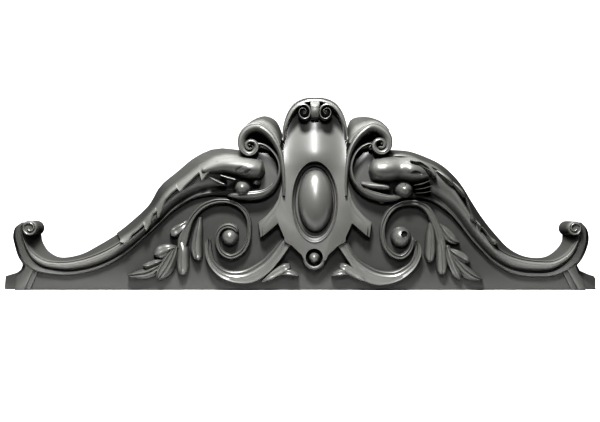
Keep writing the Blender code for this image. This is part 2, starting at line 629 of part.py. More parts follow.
def addHood(forms):
    """The arched rim at the crown, with a small volute on each side and a tongue between them."""
    arch = hoodRim + mirrored(hoodRim[:-1])[::-1]
    addBand(forms, "hoodRim", [row + (hoodOut,) for row in arch], flatTop, 19, base=sunkBase)
    rows = [row + (hoodOut + (curlOut - hoodOut) * min(1.0, i / 3),) for i, row in enumerate(hoodCurl)]
    addBand(forms, "leftCurl", rows, roundTop, 13, base=curlBase)
    addBand(forms, "rightCurl", mirrored(rows), roundTop, 13, base=curlBase)
    bed = (304.4, 112.4)
    for name, middle in (("leftCurlBed", bed), ("rightCurlBed", mirrored([bed])[0])):
        addDome(forms, name, middle, (5.6, 6.4), curlOut - lap, curlBase, rings=2)
    tongue = [(shieldMiddle, down, half, tongueOut - drop) for half, down, drop in tongueRows]
    addBand(forms, "tongue", tongue, flatTop, 9, base=curlBase)


def addOval(cutters, insets):
    """The oval recess with a lip, a ledge inside it and a smooth boss."""
    middle, radii = (shieldMiddle - 0.3, 201.6), (22.6, 40.6)
    top = shieldOut + edgeBevel
    floor = ovalFloorOut - edgeBevel
    addTurned(cutters, "ovalCut", middle, radii, [(0.97, ovalFloorOut), (0.97, crestLength)], sides=20,
              drawn=shieldOut)
    addTurned(insets, "ovalRim", middle, radii,
              [(1.01, floor - lap), (1.01, top - edgeBevel), (0.99, top), (0.96, top - edgeBevel),
               (0.945, ovalLedgeOut),
               (0.88, ovalLedgeOut), (0.85, floor)], sides=20, drawn=shieldOut)
    height = bossOut - ovalFloorOut
    rows = [(1.0, floor - lap)] + [(share, ovalFloorOut + height * lift) for share, lift in
                                   ((1.0, 0.0), (0.95, 0.36), (0.78, 0.66), (0.52, 0.87), (0.2, 1.0))]
    addTurned(insets, "boss", (shieldMiddle + 0.5, 201), (17.6, 31), rows, sides=18, drawn=shieldOut)


def addPendant(forms, cutters, insets):
    """The ring with a bead at the foot of the shield."""
    middle = (314.4, 257.8)
    addTurned(forms, "ring", middle, (11.4, 12.2),
              [(1.0, sunkBase), (1.0, pendantOut - 3 * edgeBevel), (0.88, pendantOut - edgeBevel),
               (0.82, pendantOut)],
              sides=14)
    addTurned(cutters, "ringCut", middle, (8.4, 8.6), [(1.0, fieldOut), (1.0, crestLength)], sides=14,
              drawn=pendantOut)
    addDome(insets, "bead", middle, (6.2, 6.2), pendantOut + edgeBevel, fieldOut + edgeBevel)


def joined(body, others, operation):
    """Joins the other forms to the body, or cuts them from it, and drops them."""
    group = bpy.data.collections.new("forms")
    for other in others:
        group.objects.link(other)
    step = body.modifiers.new("carve", "BOOLEAN")
    step.operation = operation
    step.operand_type = "COLLECTION"
    step.collection = group
    step.solver = "EXACT"
    step.use_self = operation == "UNION"
    graph = bpy.context.evaluated_depsgraph_get()
    mesh = bpy.data.meshes.new_from_object(body.evaluated_get(graph))
    body.modifiers.clear()
    body.data = mesh
    for other in others:
        bpy.data.objects.remove(other)
    bpy.data.collections.remove(group)


def cleanSkin(body):
    """Joins flat facets, drops slivers,
    and fills the tiny bubbles that the joined forms can leave inside."""
    skin = bmesh.new()
    skin.from_mesh(body.data)
    bmesh.ops.dissolve_limit(skin, angle_limit=math.radians(flatAngle), verts=skin.verts[:],
                             edges=skin.edges[:])
    bmesh.ops.dissolve_degenerate(skin, dist=sliver, edges=skin.edges[:])
    left = set(skin.faces)
    skins = []
    while left:
        reached = [left.pop()]
        for face in reached:
            for edge in face.edges:
                for other in edge.link_faces:
                    if other in left:
                        left.remove(other)
                        reached.append(other)
        skins.append(reached)
    skins.sort(key=len)
    for bubble in skins[:-1]:
        bmesh.ops.delete(skin, geom=bubble, context="FACES")
    bmesh.ops.triangulate(skin, faces=skin.faces[:])
    skin.to_mesh(body.data)
    skin.free()


def satinMaterial():
    material = bpy.data.materials.new("satin_grey")
    material.use_nodes = True
    shader = material.node_tree.nodes["Principled BSDF"]
    shader.inputs["Base Color"].default_value = satinGrey
    shader.inputs["Roughness"].default_value = 0.36
    shader.inputs["Metallic"].default_value = 0.0
    return material


def groundBox(forms):
    """A block under the crest that cuts its underside flat."""
    reach = crestLength
    corners = [(-reach, -reach), (reach, -reach), (reach, 0.0), (-reach, 0.0)]
    makeForm(forms, "ground", [[(x, z, out) for x, z in corners] for out in (-reach, reach)])


def main():
    for old in list(bpy.data.objects):
        bpy.data.objects.remove(old)
    forms, cutters, insets = [], [], []
    addField(forms)
    addFeet(forms)
    addSerpent(forms, "leftSerpent", leftSerpent, 22)
    addSerpent(forms, "rightSerpent", rightSerpent, 22)
    addRoll(forms, "leftRoll", (29.5, 228.3), (37.3, 228.3), (7.2, 7.4))
    addRoll(forms, "rightRoll", (575.3, 228.6), (566, 228.6), (6.8, 7.4))
    addSerpentLeaf(forms, "leftLeaf", leftSerpent, leftRagged)
    addSprays(forms)
    addSpirals(forms)
    addArm(forms, "leftArm", leftArm, 14)
    addArm(forms, "rightArm", rightArm, 14)
    addFlanks(forms)
    addHeads(forms)
    addShield(forms)
    addHood(forms)
    addOval(cutters, insets)
    addPendant(forms, cutters, insets)
    crest = forms[0]
    joined(crest, forms[1:], "UNION")
    joined(crest, cutters, "DIFFERENCE")
    joined(crest, insets, "UNION")
    ground = []
    groundBox(ground)
    joined(crest, ground, "DIFFERENCE")
    cleanSkin(crest)
    corners = np.array([vertex.co for vertex in crest.data.vertices])
    middle = (corners.min(axis=0) + corners.max(axis=0)) / 2
    for vertex in crest.data.vertices:
        vertex.co.x -= middle[0]
        vertex.co.y -= middle[1]
    crest.name = "scroll_onlay"
    crest.data.name = "scroll_onlay"
    crest.hide_render = False
    crest.display_type = "TEXTURED"
    crest.data.materials.clear()
    crest.data.materials.append(satinMaterial())
    crest.data.shade_smooth()
    crest.data.set_sharp_from_angle(angle=math.radians(34))
    size = corners.max(axis=0) - corners.min(axis=0)
    print("crest", [round(float(v) * 1000, 1) for v in size], "mm,", len(crest.data.polygons), "faces")


main()
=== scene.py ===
# The look of the carved crest: the whole carving as one fine mesh, its satin grey finish, light and camera.

import math
import time

import bmesh
import bpy
import numpy as np
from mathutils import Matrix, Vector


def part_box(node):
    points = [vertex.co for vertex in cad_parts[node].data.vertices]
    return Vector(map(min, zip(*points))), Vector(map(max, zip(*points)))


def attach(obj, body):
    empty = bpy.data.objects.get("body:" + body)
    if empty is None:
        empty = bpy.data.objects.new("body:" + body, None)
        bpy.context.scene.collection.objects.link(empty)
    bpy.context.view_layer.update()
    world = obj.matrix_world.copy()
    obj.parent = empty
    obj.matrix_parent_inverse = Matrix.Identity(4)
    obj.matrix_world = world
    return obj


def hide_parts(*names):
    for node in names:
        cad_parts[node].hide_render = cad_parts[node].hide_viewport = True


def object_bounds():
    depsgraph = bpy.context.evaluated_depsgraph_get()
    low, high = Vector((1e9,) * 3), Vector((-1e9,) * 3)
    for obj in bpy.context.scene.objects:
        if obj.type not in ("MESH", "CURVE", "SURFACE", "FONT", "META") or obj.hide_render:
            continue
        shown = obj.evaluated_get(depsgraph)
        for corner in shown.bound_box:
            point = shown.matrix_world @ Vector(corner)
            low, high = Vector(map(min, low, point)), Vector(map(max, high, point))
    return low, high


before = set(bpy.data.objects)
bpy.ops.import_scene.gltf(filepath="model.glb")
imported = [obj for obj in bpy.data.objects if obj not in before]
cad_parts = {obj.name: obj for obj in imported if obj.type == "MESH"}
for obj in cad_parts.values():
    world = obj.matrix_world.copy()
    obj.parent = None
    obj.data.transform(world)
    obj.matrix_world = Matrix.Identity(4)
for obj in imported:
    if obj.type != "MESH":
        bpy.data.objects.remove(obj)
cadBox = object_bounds()
backY = float(cadBox[1][1])
started = time.time()

# The drawing sheet: small squares, counted from the left and from the top of the view
sheet = {
    "square": 0.0015,        # metres
    "middle": 300.0,         # the crest's middle line
    "ground": 290.0,         # the underside
    "shieldMiddle": 315.2,
    "eyeDistance": 1.47,     # the sheet is what is seen from here, in metres from the back
    "eyeHeight": 0.118,
}

field = {
    "out": 0.035,            # how far the flat field stands out from the back
    "bed": 0.01,             # where the layers that lie on the field start
    "sink": 0.005,           # how far thin layers are let into the field
    "chamfer": 0.001,
    "outline": [(16, 291.5), (19, 276), (28, 270), (38, 266), (60, 267), (86, 264), (130, 240), (160, 210),
        (190, 185), (230, 180), (262, 160), (284, 150), (300, 130), (330, 130), (346, 150), (370, 160),
        (400, 180), (440, 188), (465, 214), (485, 238), (515, 263), (550, 266), (566, 264), (576, 270),
        (581, 276), (585, 291.5)],
}

cutTop = 0.2                 # cutting forms reach this far out, past all of the carving


def place(across, down, out, drawnOut=None):
    # the real place (x, z, out) of a point of the sheet, seen at the depth drawnOut
    seen = out if drawnOut is None else drawnOut
    scale = (sheet["eyeDistance"] - seen) / (sheet["eyeDistance"] - field["out"])
    x = (across - sheet["middle"]) * sheet["square"] * scale
    z = sheet["eyeHeight"] + ((sheet["ground"] - down) * sheet["square"] - sheet["eyeHeight"]) * scale
    return [x, z, out]


def mirrored(points):
    # the other side of the shield's middle line
    return [(2 * sheet["shieldMiddle"] - row[0],) + tuple(row[1:]) for row in points]


def smoothRows(rows, count):
    # a smooth line through rows of numbers, spaced by the distance between their first two columns
    rows = np.array(rows, float)
    gaps = np.linalg.norm(np.diff(rows[:, :2], axis=0), axis=1)
    at = np.concatenate([[0], np.cumsum(np.maximum(gaps, 1e-9))])
    slope = np.gradient(rows, at, axis=0)
    where = np.linspace(0, at[-1], count)
    left = np.clip(np.searchsorted(at, where, side="right") - 1, 0, len(at) - 2)
    span = (at[left + 1] - at[left])[:, None]
    t = ((where - at[left]) / span[:, 0])[:, None]
    keep = 2 * t**3 - 3 * t**2 + 1
    pull = t**3 - 2 * t**2 + t
    ahead = t**3 - t**2
    bend = span * (pull * slope[left] + ahead * slope[left + 1])
    return keep * rows[left] + (1 - keep) * rows[left + 1] + bend


def addObject(name, data):
    body = bpy.data.objects.new(name, data)
    bpy.context.scene.collection.objects.link(body)
    return body


def makeForm(forms, name, rings):
    # a closed body through rings of (x, z, out) points, capped at both ends
    rings = np.array(rings, float)
    count, sides = rings.shape[:2]
    points = rings.reshape(-1, 3)[:, [0, 2, 1]] * (1, -1, 1)
    here = (np.arange(count - 1) * sides)[:, None]
    j = np.arange(sides)[None, :]
    k = (j + 1) % sides
    quads = np.stack([here + j, here + k, here + sides + k, here + sides + j], axis=-1).reshape(-1, 4)
    caps = [list(range(sides))[::-1], list(range((count - 1) * sides, count * sides))]
    mesh = bpy.data.meshes.new(name)
    mesh.from_pydata(points.tolist(), [], quads.tolist() + caps)
    solid = bmesh.new()
    solid.from_mesh(mesh)
    if solid.calc_volume(signed=True) < 0:
        mesh.flip_normals()
    solid.free()
    body = addObject(name, mesh)
    body.hide_render = True
    forms.append(body)


def domeHeight(side, fullness):
    return max(0.0, 1 - abs(side) ** fullness) ** (1 / fullness)


def roundedProfile(count, fullness=2.0, ridge=0.0, at=0.0, wide=0.14):
    # heights across a rounded band: a dome with one fine ridge along it
    rows = []
    for i in range(count):
        side = -math.cos(math.pi * i / (count - 1))
        lift = 1 + ridge * math.exp(-((side - at) / wide) ** 2)
        rows.append((side, domeHeight(side, fullness) * lift / (1 + ridge)))
    return rows


def veined(count, veins, cut, fullness):
    # heights across a leaf with fine veins along it
    rows = []
    for i in range(count):
        side = -1 + 2 * i / (count - 1)
        vein = cut * (0.5 - 0.5 * math.cos(math.pi * veins * (side + 1)))
        rows.append((side, domeHeight(side, fullness) * (1 - vein)))
    return rows


def endShare(t, reach):
    # 0 at the very end and 1 past the rounded stretch
    if reach <= 0 or t >= reach:
        return 1.0
    return math.sqrt(max(0.0, 1 - (1 - t / reach) ** 2))


def clamped(value):
    return min(1.0, max(0.0, value))


def eased(value):
    # 1 at nothing, then a soft fall to 0 at 1
    return 0.5 + 0.5 * math.cos(math.pi * clamped(value))


def sweptLine(spine, count):
    # the smoothed spine of rows (across, down, half width, out), with its direction at each step
    placed = [place(a, d, out)[:2] + [w * sheet["square"], out] for a, d, w, out in spine]
    rows = smoothRows(placed, count)
    along = np.gradient(rows[:, :2], axis=0)
    along /= np.linalg.norm(along, axis=1)[:, None]
    return zip(rows, along)


bandEnds = {
    "width": 0.03,           # share of its width that a band keeps at a rounded end
    "height": 0.25,          # least share of its height there
    "narrowest": 0.00015,    # least half width, in metres
}


def addBand(forms, name, spine, profile, count, base=0.0, ends=(0.0, 0.0)):
    # a band along a spine, with rounded ends
    rings = []
    for i, ((x, z, half, out), (dx, dz)) in enumerate(sweptLine(spine, count)):
        t = i / (count - 1)
        share = max(bandEnds["width"], min(endShare(t, ends[0]), endShare(1 - t, ends[1])))
        half = max(half * share, bandEnds["narrowest"])
        top = base + (out - base) * (bandEnds["height"] + (1 - bandEnds["height"]) * share)
        rings.append([(x - dz * half * side, z + dx * half * side, base + height * (top - base))
                      for side, height in profile])
    makeForm(forms, name, rings)


plate = {
    "chamfer": 0.0012, "shoulder": (0.35, 0.3),
    "sharpest": 0.4,         # at a sharp corner the chamfer is at most 1 / 0.4 times as wide
}


def addPlate(forms, name, outline, out, base=0.0, chamfer=plate["chamfer"], spread=0.0):
    # a flat plate cut to an outline, with a small chamfer round its front
    points = np.array([place(a, d, out)[:2] for a, d in outline])
    follow = np.roll(points, -1, axis=0)
    ahead = follow - points
    ahead /= np.linalg.norm(ahead, axis=1)[:, None]
    turn = math.copysign(1, (points[:, 0] * follow[:, 1] - points[:, 1] * follow[:, 0]).sum())
    middle = ahead + np.roll(ahead, 1, axis=0)
    middle /= np.linalg.norm(middle, axis=1)[:, None]
    inward = np.stack([-middle[:, 1], middle[:, 0]], axis=1) * turn
    square = np.stack([-ahead[:, 1], ahead[:, 0]], axis=1)
    inward /= np.maximum(np.abs((inward * square).sum(1)), plate["sharpest"])[:, None]
    inside, below = plate["shoulder"]
    steps = ((-spread, base), (0, out - chamfer), (chamfer * inside, out - chamfer * below), (chamfer, out))
    makeForm(forms, name, [[(x, z, depth) for x, z in points + inward * shift] for shift, depth in steps])


def ovalRing(x, z, wide, high, out, sides):
    # one ring of an upright oval, with its half width and half height in metres
    turns = [2 * math.pi * i / sides for i in range(sides)]
    return [(x + wide * math.cos(turn), z + high * math.sin(turn), out) for turn in turns]


def addTurned(forms, name, middle, radii, profile, sides, drawn):
    # an upright oval form: profile rows are (share of the radii, out)
    x, z, _ = place(*middle, drawn)
    wide, high = (radius * sheet["square"] for radius in radii)
    makeForm(forms, name, [ovalRing(x, z, wide * share, high * share, out, sides) for share, out in profile])


dome = {"rings": 12, "flatTop": 0.2, "sink": 0.006}


def addDome(forms, name, middle, radii, out, base, sides=48):
    # a rounded boss that rises from base to out over an oval foot
    x, z, _ = place(*middle, (out + base) / 2)
    wide, high = (radius * sheet["square"] for radius in radii)
    rings = []
    for level in range(dome["rings"] + 1):
        lift = math.pi / 2 * level / (dome["rings"] + dome["flatTop"])
        rise = base + (out - base) * math.sin(lift)
        rings.append(ovalRing(x, z, wide * math.cos(lift), high * math.cos(lift), rise, sides))
    foot = [(px, pz, field["out"] - dome["sink"]) for px, pz, _ in rings[0]]
    makeForm(forms, name, [foot] + rings)


def spiralRows(middle, start, end, fromAngle, turns, widths, out, count, way=1):
    # spine rows of a volute: the radius shrinks evenly over the turns
    rows = []
    for i in range(count):
        share = i / (count - 1)
        angle = fromAngle + turns * way * 2 * math.pi * share
        radius = start + (end - start) * share
        half = widths[0] + (widths[1] - widths[0]) * share
        rows.append((middle[0] + radius * math.cos(angle), middle[1] - radius * math.sin(angle), half, out))
    return rows


feet = {
    "plateOut": 0.022, "plateChamfer": 0.001, "blockOut": 0.040, "blockChamfer": 0.0014, "stepOut": 0.038,
    "leftPlate": [(21.3, 259), (22.2, 262), (22.5, 266), (21, 270), (17, 273), (12, 274.5), (5.7, 276.5),
        (4.3, 291.5), (40, 291.5), (40, 259)],
    "leftBlock": [(24, 258), (25.4, 263), (25, 267), (23, 271), (20, 274), (16.5, 276.5), (14.3, 291.5),
        (24, 291.5), (33.5, 270), (44, 262), (40, 258)],
    "leftStep": [(30, 291.5), (24, 291.5), (30, 276), (34, 266), (40, 266)],
    "rightPlate": [(577, 260), (577.5, 266), (580, 271), (588, 274.5), (594, 276.5), (595.8, 279),
        (595.8, 291.5), (560, 291.5), (560, 260)],
    "rightBlock": [(576, 260), (576.5, 268), (578.5, 273), (582, 277.5), (584.5, 284), (586, 291.5),
        (579, 291.5), (568, 271), (556, 262), (560, 259)],
    "rightStep": [(572, 291.5), (579, 291.5), (572, 277), (567, 266), (560, 266)],
}


def addFeet(forms):
    # each foot is a plate with a block and a step on it
    bed = field["bed"]
    for side in ("left", "right"):
        plateEdge, block, step = (feet[side + part] for part in ("Plate", "Block", "Step"))
        addPlate(forms, side + "FootPlate", plateEdge, feet["plateOut"], chamfer=feet["plateChamfer"])
        addPlate(forms, side + "FootBlock", block, feet["blockOut"], base=bed, chamfer=feet["blockChamfer"])
        addPlate(forms, side + "FootStep", step, feet["stepOut"], base=bed)


# Each section of a serpent: back of its top, upper edge, lower bead and foot of the bead
serpents = {
    "edgeOut": 0.043, "crownOut": 0.053, "beadOut": 0.045, "sink": 0.004, "steps": 150,
    "fullWidth": 0.02,       # a face narrower than this rises less, in metres
    "dip": 0.003, "dipFrom": 0.6, "dipRate": 1.2,
    "left": [
        [(246, 152), (246, 158), (240, 196), (240, 199)],
        [(215, 150), (220, 158), (222, 194.3), (222, 197.5)],
        [(196, 158.5), (203, 167.5), (206, 195), (207.5, 198)],
        [(178, 173), (185, 181), (190, 200), (192, 202.5)],
        [(162, 186.5), (169, 193), (175, 209.5), (177.5, 211.5)],
        [(150, 206), (155, 211), (160, 223.3), (162.5, 225.5)],
        [(136, 219.5), (141, 227), (147, 235), (149.5, 237)],
        [(120, 232.5), (124, 239.5), (130, 250), (132, 252.5)],
        [(100, 245), (104, 251), (110, 262.7), (111.5, 265.5)],
        [(80, 255), (82, 259), (86, 270.7), (87, 273.5)], [(60, 257.5), (61, 262), (62, 272.7), (61, 275.5)],
        [(50, 252.5), (46, 260.4), (40, 268), (35, 272)], [(44.8, 246), (33, 252.4), (27.5, 256), (22, 259)],
        [(42.2, 240), (26.5, 242.5), (22.5, 243.5), (17.5, 245)],
        [(41, 234), (23.5, 234), (20, 234), (16.4, 235)], [(38, 229), (23.5, 229), (20.5, 227), (18.8, 228)],
        [(36, 225), (26.5, 224.5), (25, 222.8), (26, 222.6)],
    ],
    "right": [
        [(384, 150), (384, 154), (380, 203), (380, 206)],
        [(410, 152), (408, 155.5), (402, 197), (401, 200.5)],
        [(427, 158), (424, 162), (419, 197.8), (418, 201)],
        [(440, 164.4), (437, 168), (430, 200.5), (428, 203)],
        [(453, 175.3), (449, 178.5), (443, 208.2), (440.5, 210.5)],
        [(462.3, 186.7), (458, 190), (452, 216), (449.5, 218.5)],
        [(471, 201), (466.5, 204), (460, 225.2), (457.5, 227.5)],
        [(483.5, 220), (478, 223), (470, 238), (467.5, 240)],
        [(496, 235.5), (490, 239), (481, 250), (479, 252.5)],
        [(509, 248.8), (504, 252), (493, 261.2), (491, 264)],
        [(524, 256.5), (522, 258.5), (512, 271.8), (510.5, 274.5)],
        [(538, 258.2), (538, 260.8), (534, 274.7), (534, 277.5)],
        [(549, 255.5), (554, 260.5), (555, 272), (557, 275)],
        [(557.5, 248.5), (566, 254.5), (571, 261), (575, 265)],
        [(562, 241), (574.5, 244), (579.5, 247), (584.3, 248)],
        [(562.5, 235), (578.5, 235), (581.5, 235.5), (585.9, 236.5)],
        [(563.5, 229.5), (579, 229), (581.5, 227.5), (583.3, 229)],
        [(566, 225), (576, 224.3), (577.5, 222.8), (577.5, 222.6)],
    ],
    # across the face, from the upper edge to the bead: (share of the way, lift towards the crown)
    "face": [(0.0, 0.0), (0.02, 0.14), (0.045, 0.2), (0.065, 0.16), (0.085, 0.02), (0.105, 0.24), (0.14, 0.6),
        (0.19, 0.87), (0.245, 0.99), (0.3, 1.0), (0.37, 0.93), (0.45, 0.79), (0.53, 0.59), (0.61, 0.33),
        (0.69, 0.02), (0.76, -0.26), (0.82, -0.46), (0.86, -0.46), (0.885, -0.16), (0.915, 0.1), (0.95, 0.2),
        (0.98, 0.16), (1.0, 0.04)],
}


def placedSections(sections, depths):
    # one row of numbers (x, z, out) for the drawn points of each section
    return np.array([sum((place(*spot, out) for spot, out in zip(section, depths)), [])
                     for section in sections])


def serpentRails(sections, count):
    # smooth rails through the four drawn points of each section, spaced along the upper edge
    flat = placedSections(sections, (0.0, serpents["edgeOut"], serpents["beadOut"], 0.0))
    order = [3, 4] + [i for i in range(12) if i not in (3, 4)]
    rows = smoothRows(flat[:, order], count)[:, np.argsort(order)]
    return rows.reshape(-1, 4, 3)


def addSerpent(forms, name, sections):
    # a moulding with a sloping top, a rounded face, a groove and a bead along its lower edge
    rings = []
    for top, edge, bead, foot in serpentRails(sections, serpents["steps"]):
        across = bead - edge
        narrow = min(1.0, np.linalg.norm(across[:2]) / serpents["fullWidth"])
        rise = (serpents["crownOut"] - serpents["edgeOut"]) * narrow
        low = serpents["edgeOut"] - serpents["beadOut"] + serpents["dip"] * narrow
        ring = [top, top * 0.5 + edge * 0.5]
        for share, lift in serpents["face"]:
            drop = low * max(0.0, share - serpents["dipFrom"]) * serpents["dipRate"]
            ring.append(np.append((edge + across * share)[:2], serpents["edgeOut"] + rise * lift - drop))
        ring.append(np.append(bead[:2] * 0.6 + foot[:2] * 0.4, serpents["beadOut"] - serpents["dip"]))
        ring.append(np.append(bead[:2] * 0.25 + foot[:2] * 0.75, field["out"] - serpents["sink"]))
        ring.append(np.append(foot[:2], 0.0))
        rings.append(ring)
    makeForm(forms, name, rings)


roll = {
    "out": 0.054, "sides": 48,
    "left": {"front": (29.5, 228.3), "back": (37.3, 228.3), "radii": (7.2, 7.4), "way": -1, "curlFrom": 150},
    "right": {"front": (575.3, 228.6), "back": (566, 228.6), "radii": (6.8, 7.4), "way": 1, "curlFrom": 30},
    # the lip of the face: (how far inside the front radius, how far below the face)
    "lip": [(0, 0.004), (0.3, 0.0015), (1.0, 0.0005), (1.8, 0.001), (2.4, 0.003)],
    "middleRadius": 0.5, "middleDeep": 0.003,
    "curlInside": 1.2, "curlEnd": 1.2, "curlTurns": 0.95, "curlWidths": (1.3, 1.2), "curlDeep": 0.006,
}


def addRoll(forms, side):
    # the rolled end of a serpent: a short drum with a spiral on its face
    shape, out = roll[side], roll["out"]
    front, back, radii = shape["front"], shape["back"], shape["radii"]
    steps = [(back, radii[1], 0.0)]
    steps += [(front, radii[0] - inside, out - below) for inside, below in roll["lip"]]
    steps.append((front, roll["middleRadius"], out - roll["middleDeep"]))
    rings = []
    for spot, radius, depth in steps:
        x, z, _ = place(*spot, depth)
        rings.append(ovalRing(x, z, radius * sheet["square"], radius * sheet["square"], depth, roll["sides"]))
    makeForm(forms, side + "Roll", rings)
    curl = spiralRows(front, radii[0] - roll["curlInside"], roll["curlEnd"], math.radians(shape["curlFrom"]),
                      roll["curlTurns"], roll["curlWidths"], out, 18, shape["way"])
    addBand(forms, side + "RollCurl", curl, roundedProfile(13), 60, base=out - roll["curlDeep"],
            ends=(0.05, 0.1))


serpentLeaf = {
    "out": 0.0595, "steps": 400,
    "lip": 0.003,            # least reach of the leaf below the serpent's upper edge
    "over": 0.002, "edgeLift": 0.003, "tuck": 0.006,
    "ragged": [(121, 243), (124, 243.5), (128, 241.6), (132, 235), (138, 229.6), (144, 224.6), (146.6, 231.4),
        (150.6, 224), (153.6, 214.6), (157.6, 211.8), (158.6, 218.6), (163, 207.6), (165.8, 200.6),
        (168, 198.2), (172, 193.8), (177.6, 189.4), (180.4, 193), (184.6, 187.6), (190, 182.4), (196, 176.6),
        (199.6, 173.6), (201.8, 182), (207, 175.6), (212, 169), (218, 163), (226, 161.2), (234, 160.6),
        (241, 160.4)],
}


def addSerpentLeaf(forms):
    # a thin leaf that wraps the left serpent's top and ends in a ragged edge on its face
    rails = serpentRails(serpents["left"], serpentLeaf["steps"])[::-1]
    rings = []
    near = -1
    for spot in serpentLeaf["ragged"]:
        x, z, out = place(*spot, serpentLeaf["out"])
        near = max(near + 2, int(np.argmin(np.hypot(rails[:, 1, 0] - x, rails[:, 1, 1] - z))))
        top, edge, bead, _ = rails[near]
        away = (top - bead)[:2] / np.linalg.norm((top - bead)[:2])
        short = serpentLeaf["lip"] - float(np.dot(edge[:2] - (x, z), away))
        if short > 0:
            x, z = np.array([x, z]) - away * short
        over = away * serpentLeaf["over"]
        edgeUp = np.append(edge[:2] + over, serpents["edgeOut"] + serpentLeaf["edgeLift"])
        lipTop = np.append([x, z] + over, out - 0.0005)
        rings.append([
            np.append(top[:2] + away * 0.0006, 0.0),
            np.append(top[:2] + away * 0.0012, 0.004),
            edgeUp,
            edgeUp * 0.5 + lipTop * 0.5 + (0, 0, 0.0008),
            lipTop,
            [x, z, out - 0.0015],
            np.append([x, z] + away * 0.0015, serpents["edgeOut"] - serpentLeaf["tuck"]),
            np.append(edge[:2], 0.0),
        ])
    makeForm(forms, "leftLeaf", rings)


leaves = {
    "sprayOut": 0.0515, "tipOut": 0.0565, "fingerOut": 0.0615, "fingerDeep": 0.004, "steps": 48, "swell": 1.2,
    "endDrop": 0.005, "veinCut": 0.15, "veinFullness": 2.9,
    "plain": {"fullness": 2.7, "ridge": 0.09, "at": -0.15, "wide": 0.1},
    # each leaf: its number of veins (0 for a plain finger), then its spine rows (across, down, half width)
    "leftSpray": [
        (1, [(188, 222.5, 2.4), (181, 227.8, 3.8), (176.5, 230.8, 4.4),
            (172.5, 233.5, 4), (170.3, 235, 2.2)]),
        (2, [(175.5, 247.5, 1.5), (169, 249.3, 4.2), (163, 251.5, 5.8),
            (157.5, 253.8, 5.2), (153.8, 255.2, 2.2)]),
        (2, [(163, 261, 1.5), (156, 262.8, 2.6), (150, 265.3, 3.2),
            (145.5, 266.3, 2.6), (142.5, 265.5, 0.8)]),
        (3, [(164, 264, 2), (155, 270, 4.2), (146, 274, 4.6), (137, 275.3, 3.4), (131, 275.8, 1.8),
            (127.3, 275.6, 0.5)]),
        (4, [(176, 246, 2.5), (171.5, 256, 5.5), (166.5, 265, 7), (162, 272, 6.8), (159, 277, 4.4),
            (157.5, 280, 2)]),
        (0, [(180, 240, 3), (182.2, 250, 5), (182, 262, 5.5), (182.2, 269, 5.2), (182, 273.5, 3.8),
            (182, 275.8, 2)]),
        (0, [(200, 217, 1.6), (198, 229, 3.8), (196.3, 240, 5), (195.8, 250, 5.6), (196.8, 256, 4.8),
            (197.6, 259.5, 3.4), (197.8, 261.3, 1.8)]),
    ],
    "rightSpray": [
        (2, [(440, 224.5, 1), (445, 231, 4), (450, 237, 5), (455, 241, 3.6), (460.3, 243, 0.8)]),
        (2, [(449, 249.5, 1.5), (456, 253.8, 3.8), (463, 258, 4.4), (468, 261, 3.2), (470.3, 262.4, 1.6)]),
        (3, [(453, 257, 2), (460, 265.5, 4.6), (467, 272.5, 5), (474, 277, 3.6),
            (479, 279, 2), (483.8, 279.7, 0.5)]),
        (2, [(447, 245, 2.5), (450.3, 256, 4), (454.5, 267, 4.4), (458, 274.5, 3.8), (461, 280.3, 0.9)]),
        (0, [(440.5, 236, 3.5), (442, 248, 4.7), (442.8, 260, 5), (443, 268, 4.9), (442.8, 273, 3.8),
            (442.5, 275.6, 2)]),
        (0, [(431.5, 222, 2), (431.6, 236, 4.2), (431.5, 250, 5.1), (431, 256.5, 4.8), (431, 261, 3.2),
            (431, 263.3, 1.6)]),
    ],
    "bottomTips": [
        (1, [(261.5, 282.3, 0.6), (267, 279.4, 2.2), (274, 274.8, 3.6), (281, 270.6, 4.1), (286.5, 268, 3.6),
            (290.8, 266.6, 1.8)]),
        (1, [(281, 274, 1.5), (287, 272.8, 3), (293, 274, 2.2), (299, 276.3, 0.5)]),
    ],
    "rightFingers": [
        (0, [(437, 171, 1.4), (444, 176, 2.3), (450, 181, 2.5), (454.5, 186, 1.6)]),
        (0, [(453, 182.5, 1.2), (459, 188.5, 2.2), (463.5, 194, 2.3), (466, 198.5, 1.4)]),
        (0, [(466, 197, 0.9), (469.5, 206, 1.1), (472, 214, 1.2), (474, 221, 1.9), (476.5, 222.8, 1.2)]),
        (0, [(476.5, 221.5, 1), (480.5, 226.5, 1.9), (481.5, 231, 1)]),
        (0, [(482.5, 227.5, 0.9), (488, 234, 1.2), (491.5, 239.5, 2.2), (496, 243, 2.4), (499, 244, 1)]),
    ],
}


def addLeaves(forms, name, group, out, base):
    # plain fingers have a fine ridge, leaves have veins
    for index, (veins, spine) in enumerate(group):
        last = len(spine) - 1
        rows = [(a, d, w * leaves["swell"], out - (leaves["endDrop"] if i in (0, last) else 0.0))
                for i, (a, d, w) in enumerate(spine)]
        if veins:
            profile = veined(33, veins, leaves["veinCut"], leaves["veinFullness"])
        else:
            profile = roundedProfile(25, **leaves["plain"])
        addBand(forms, f"{name}{index}", rows, profile, leaves["steps"], base=base, ends=(0.03, 0.03))


gouge = {
    "steps": 36, "deep": 0.0068, "swell": 1.15,
    # across the cut: (side, height over its floor)
    "across": [(-1.6, 0.012), (-1, 0.002), (-0.7, 0.0008), (-0.35, 0.0002), (0, 0.0), (0.35, 0.0002),
        (0.7, 0.0008), (1, 0.002), (1.6, 0.012)],
}


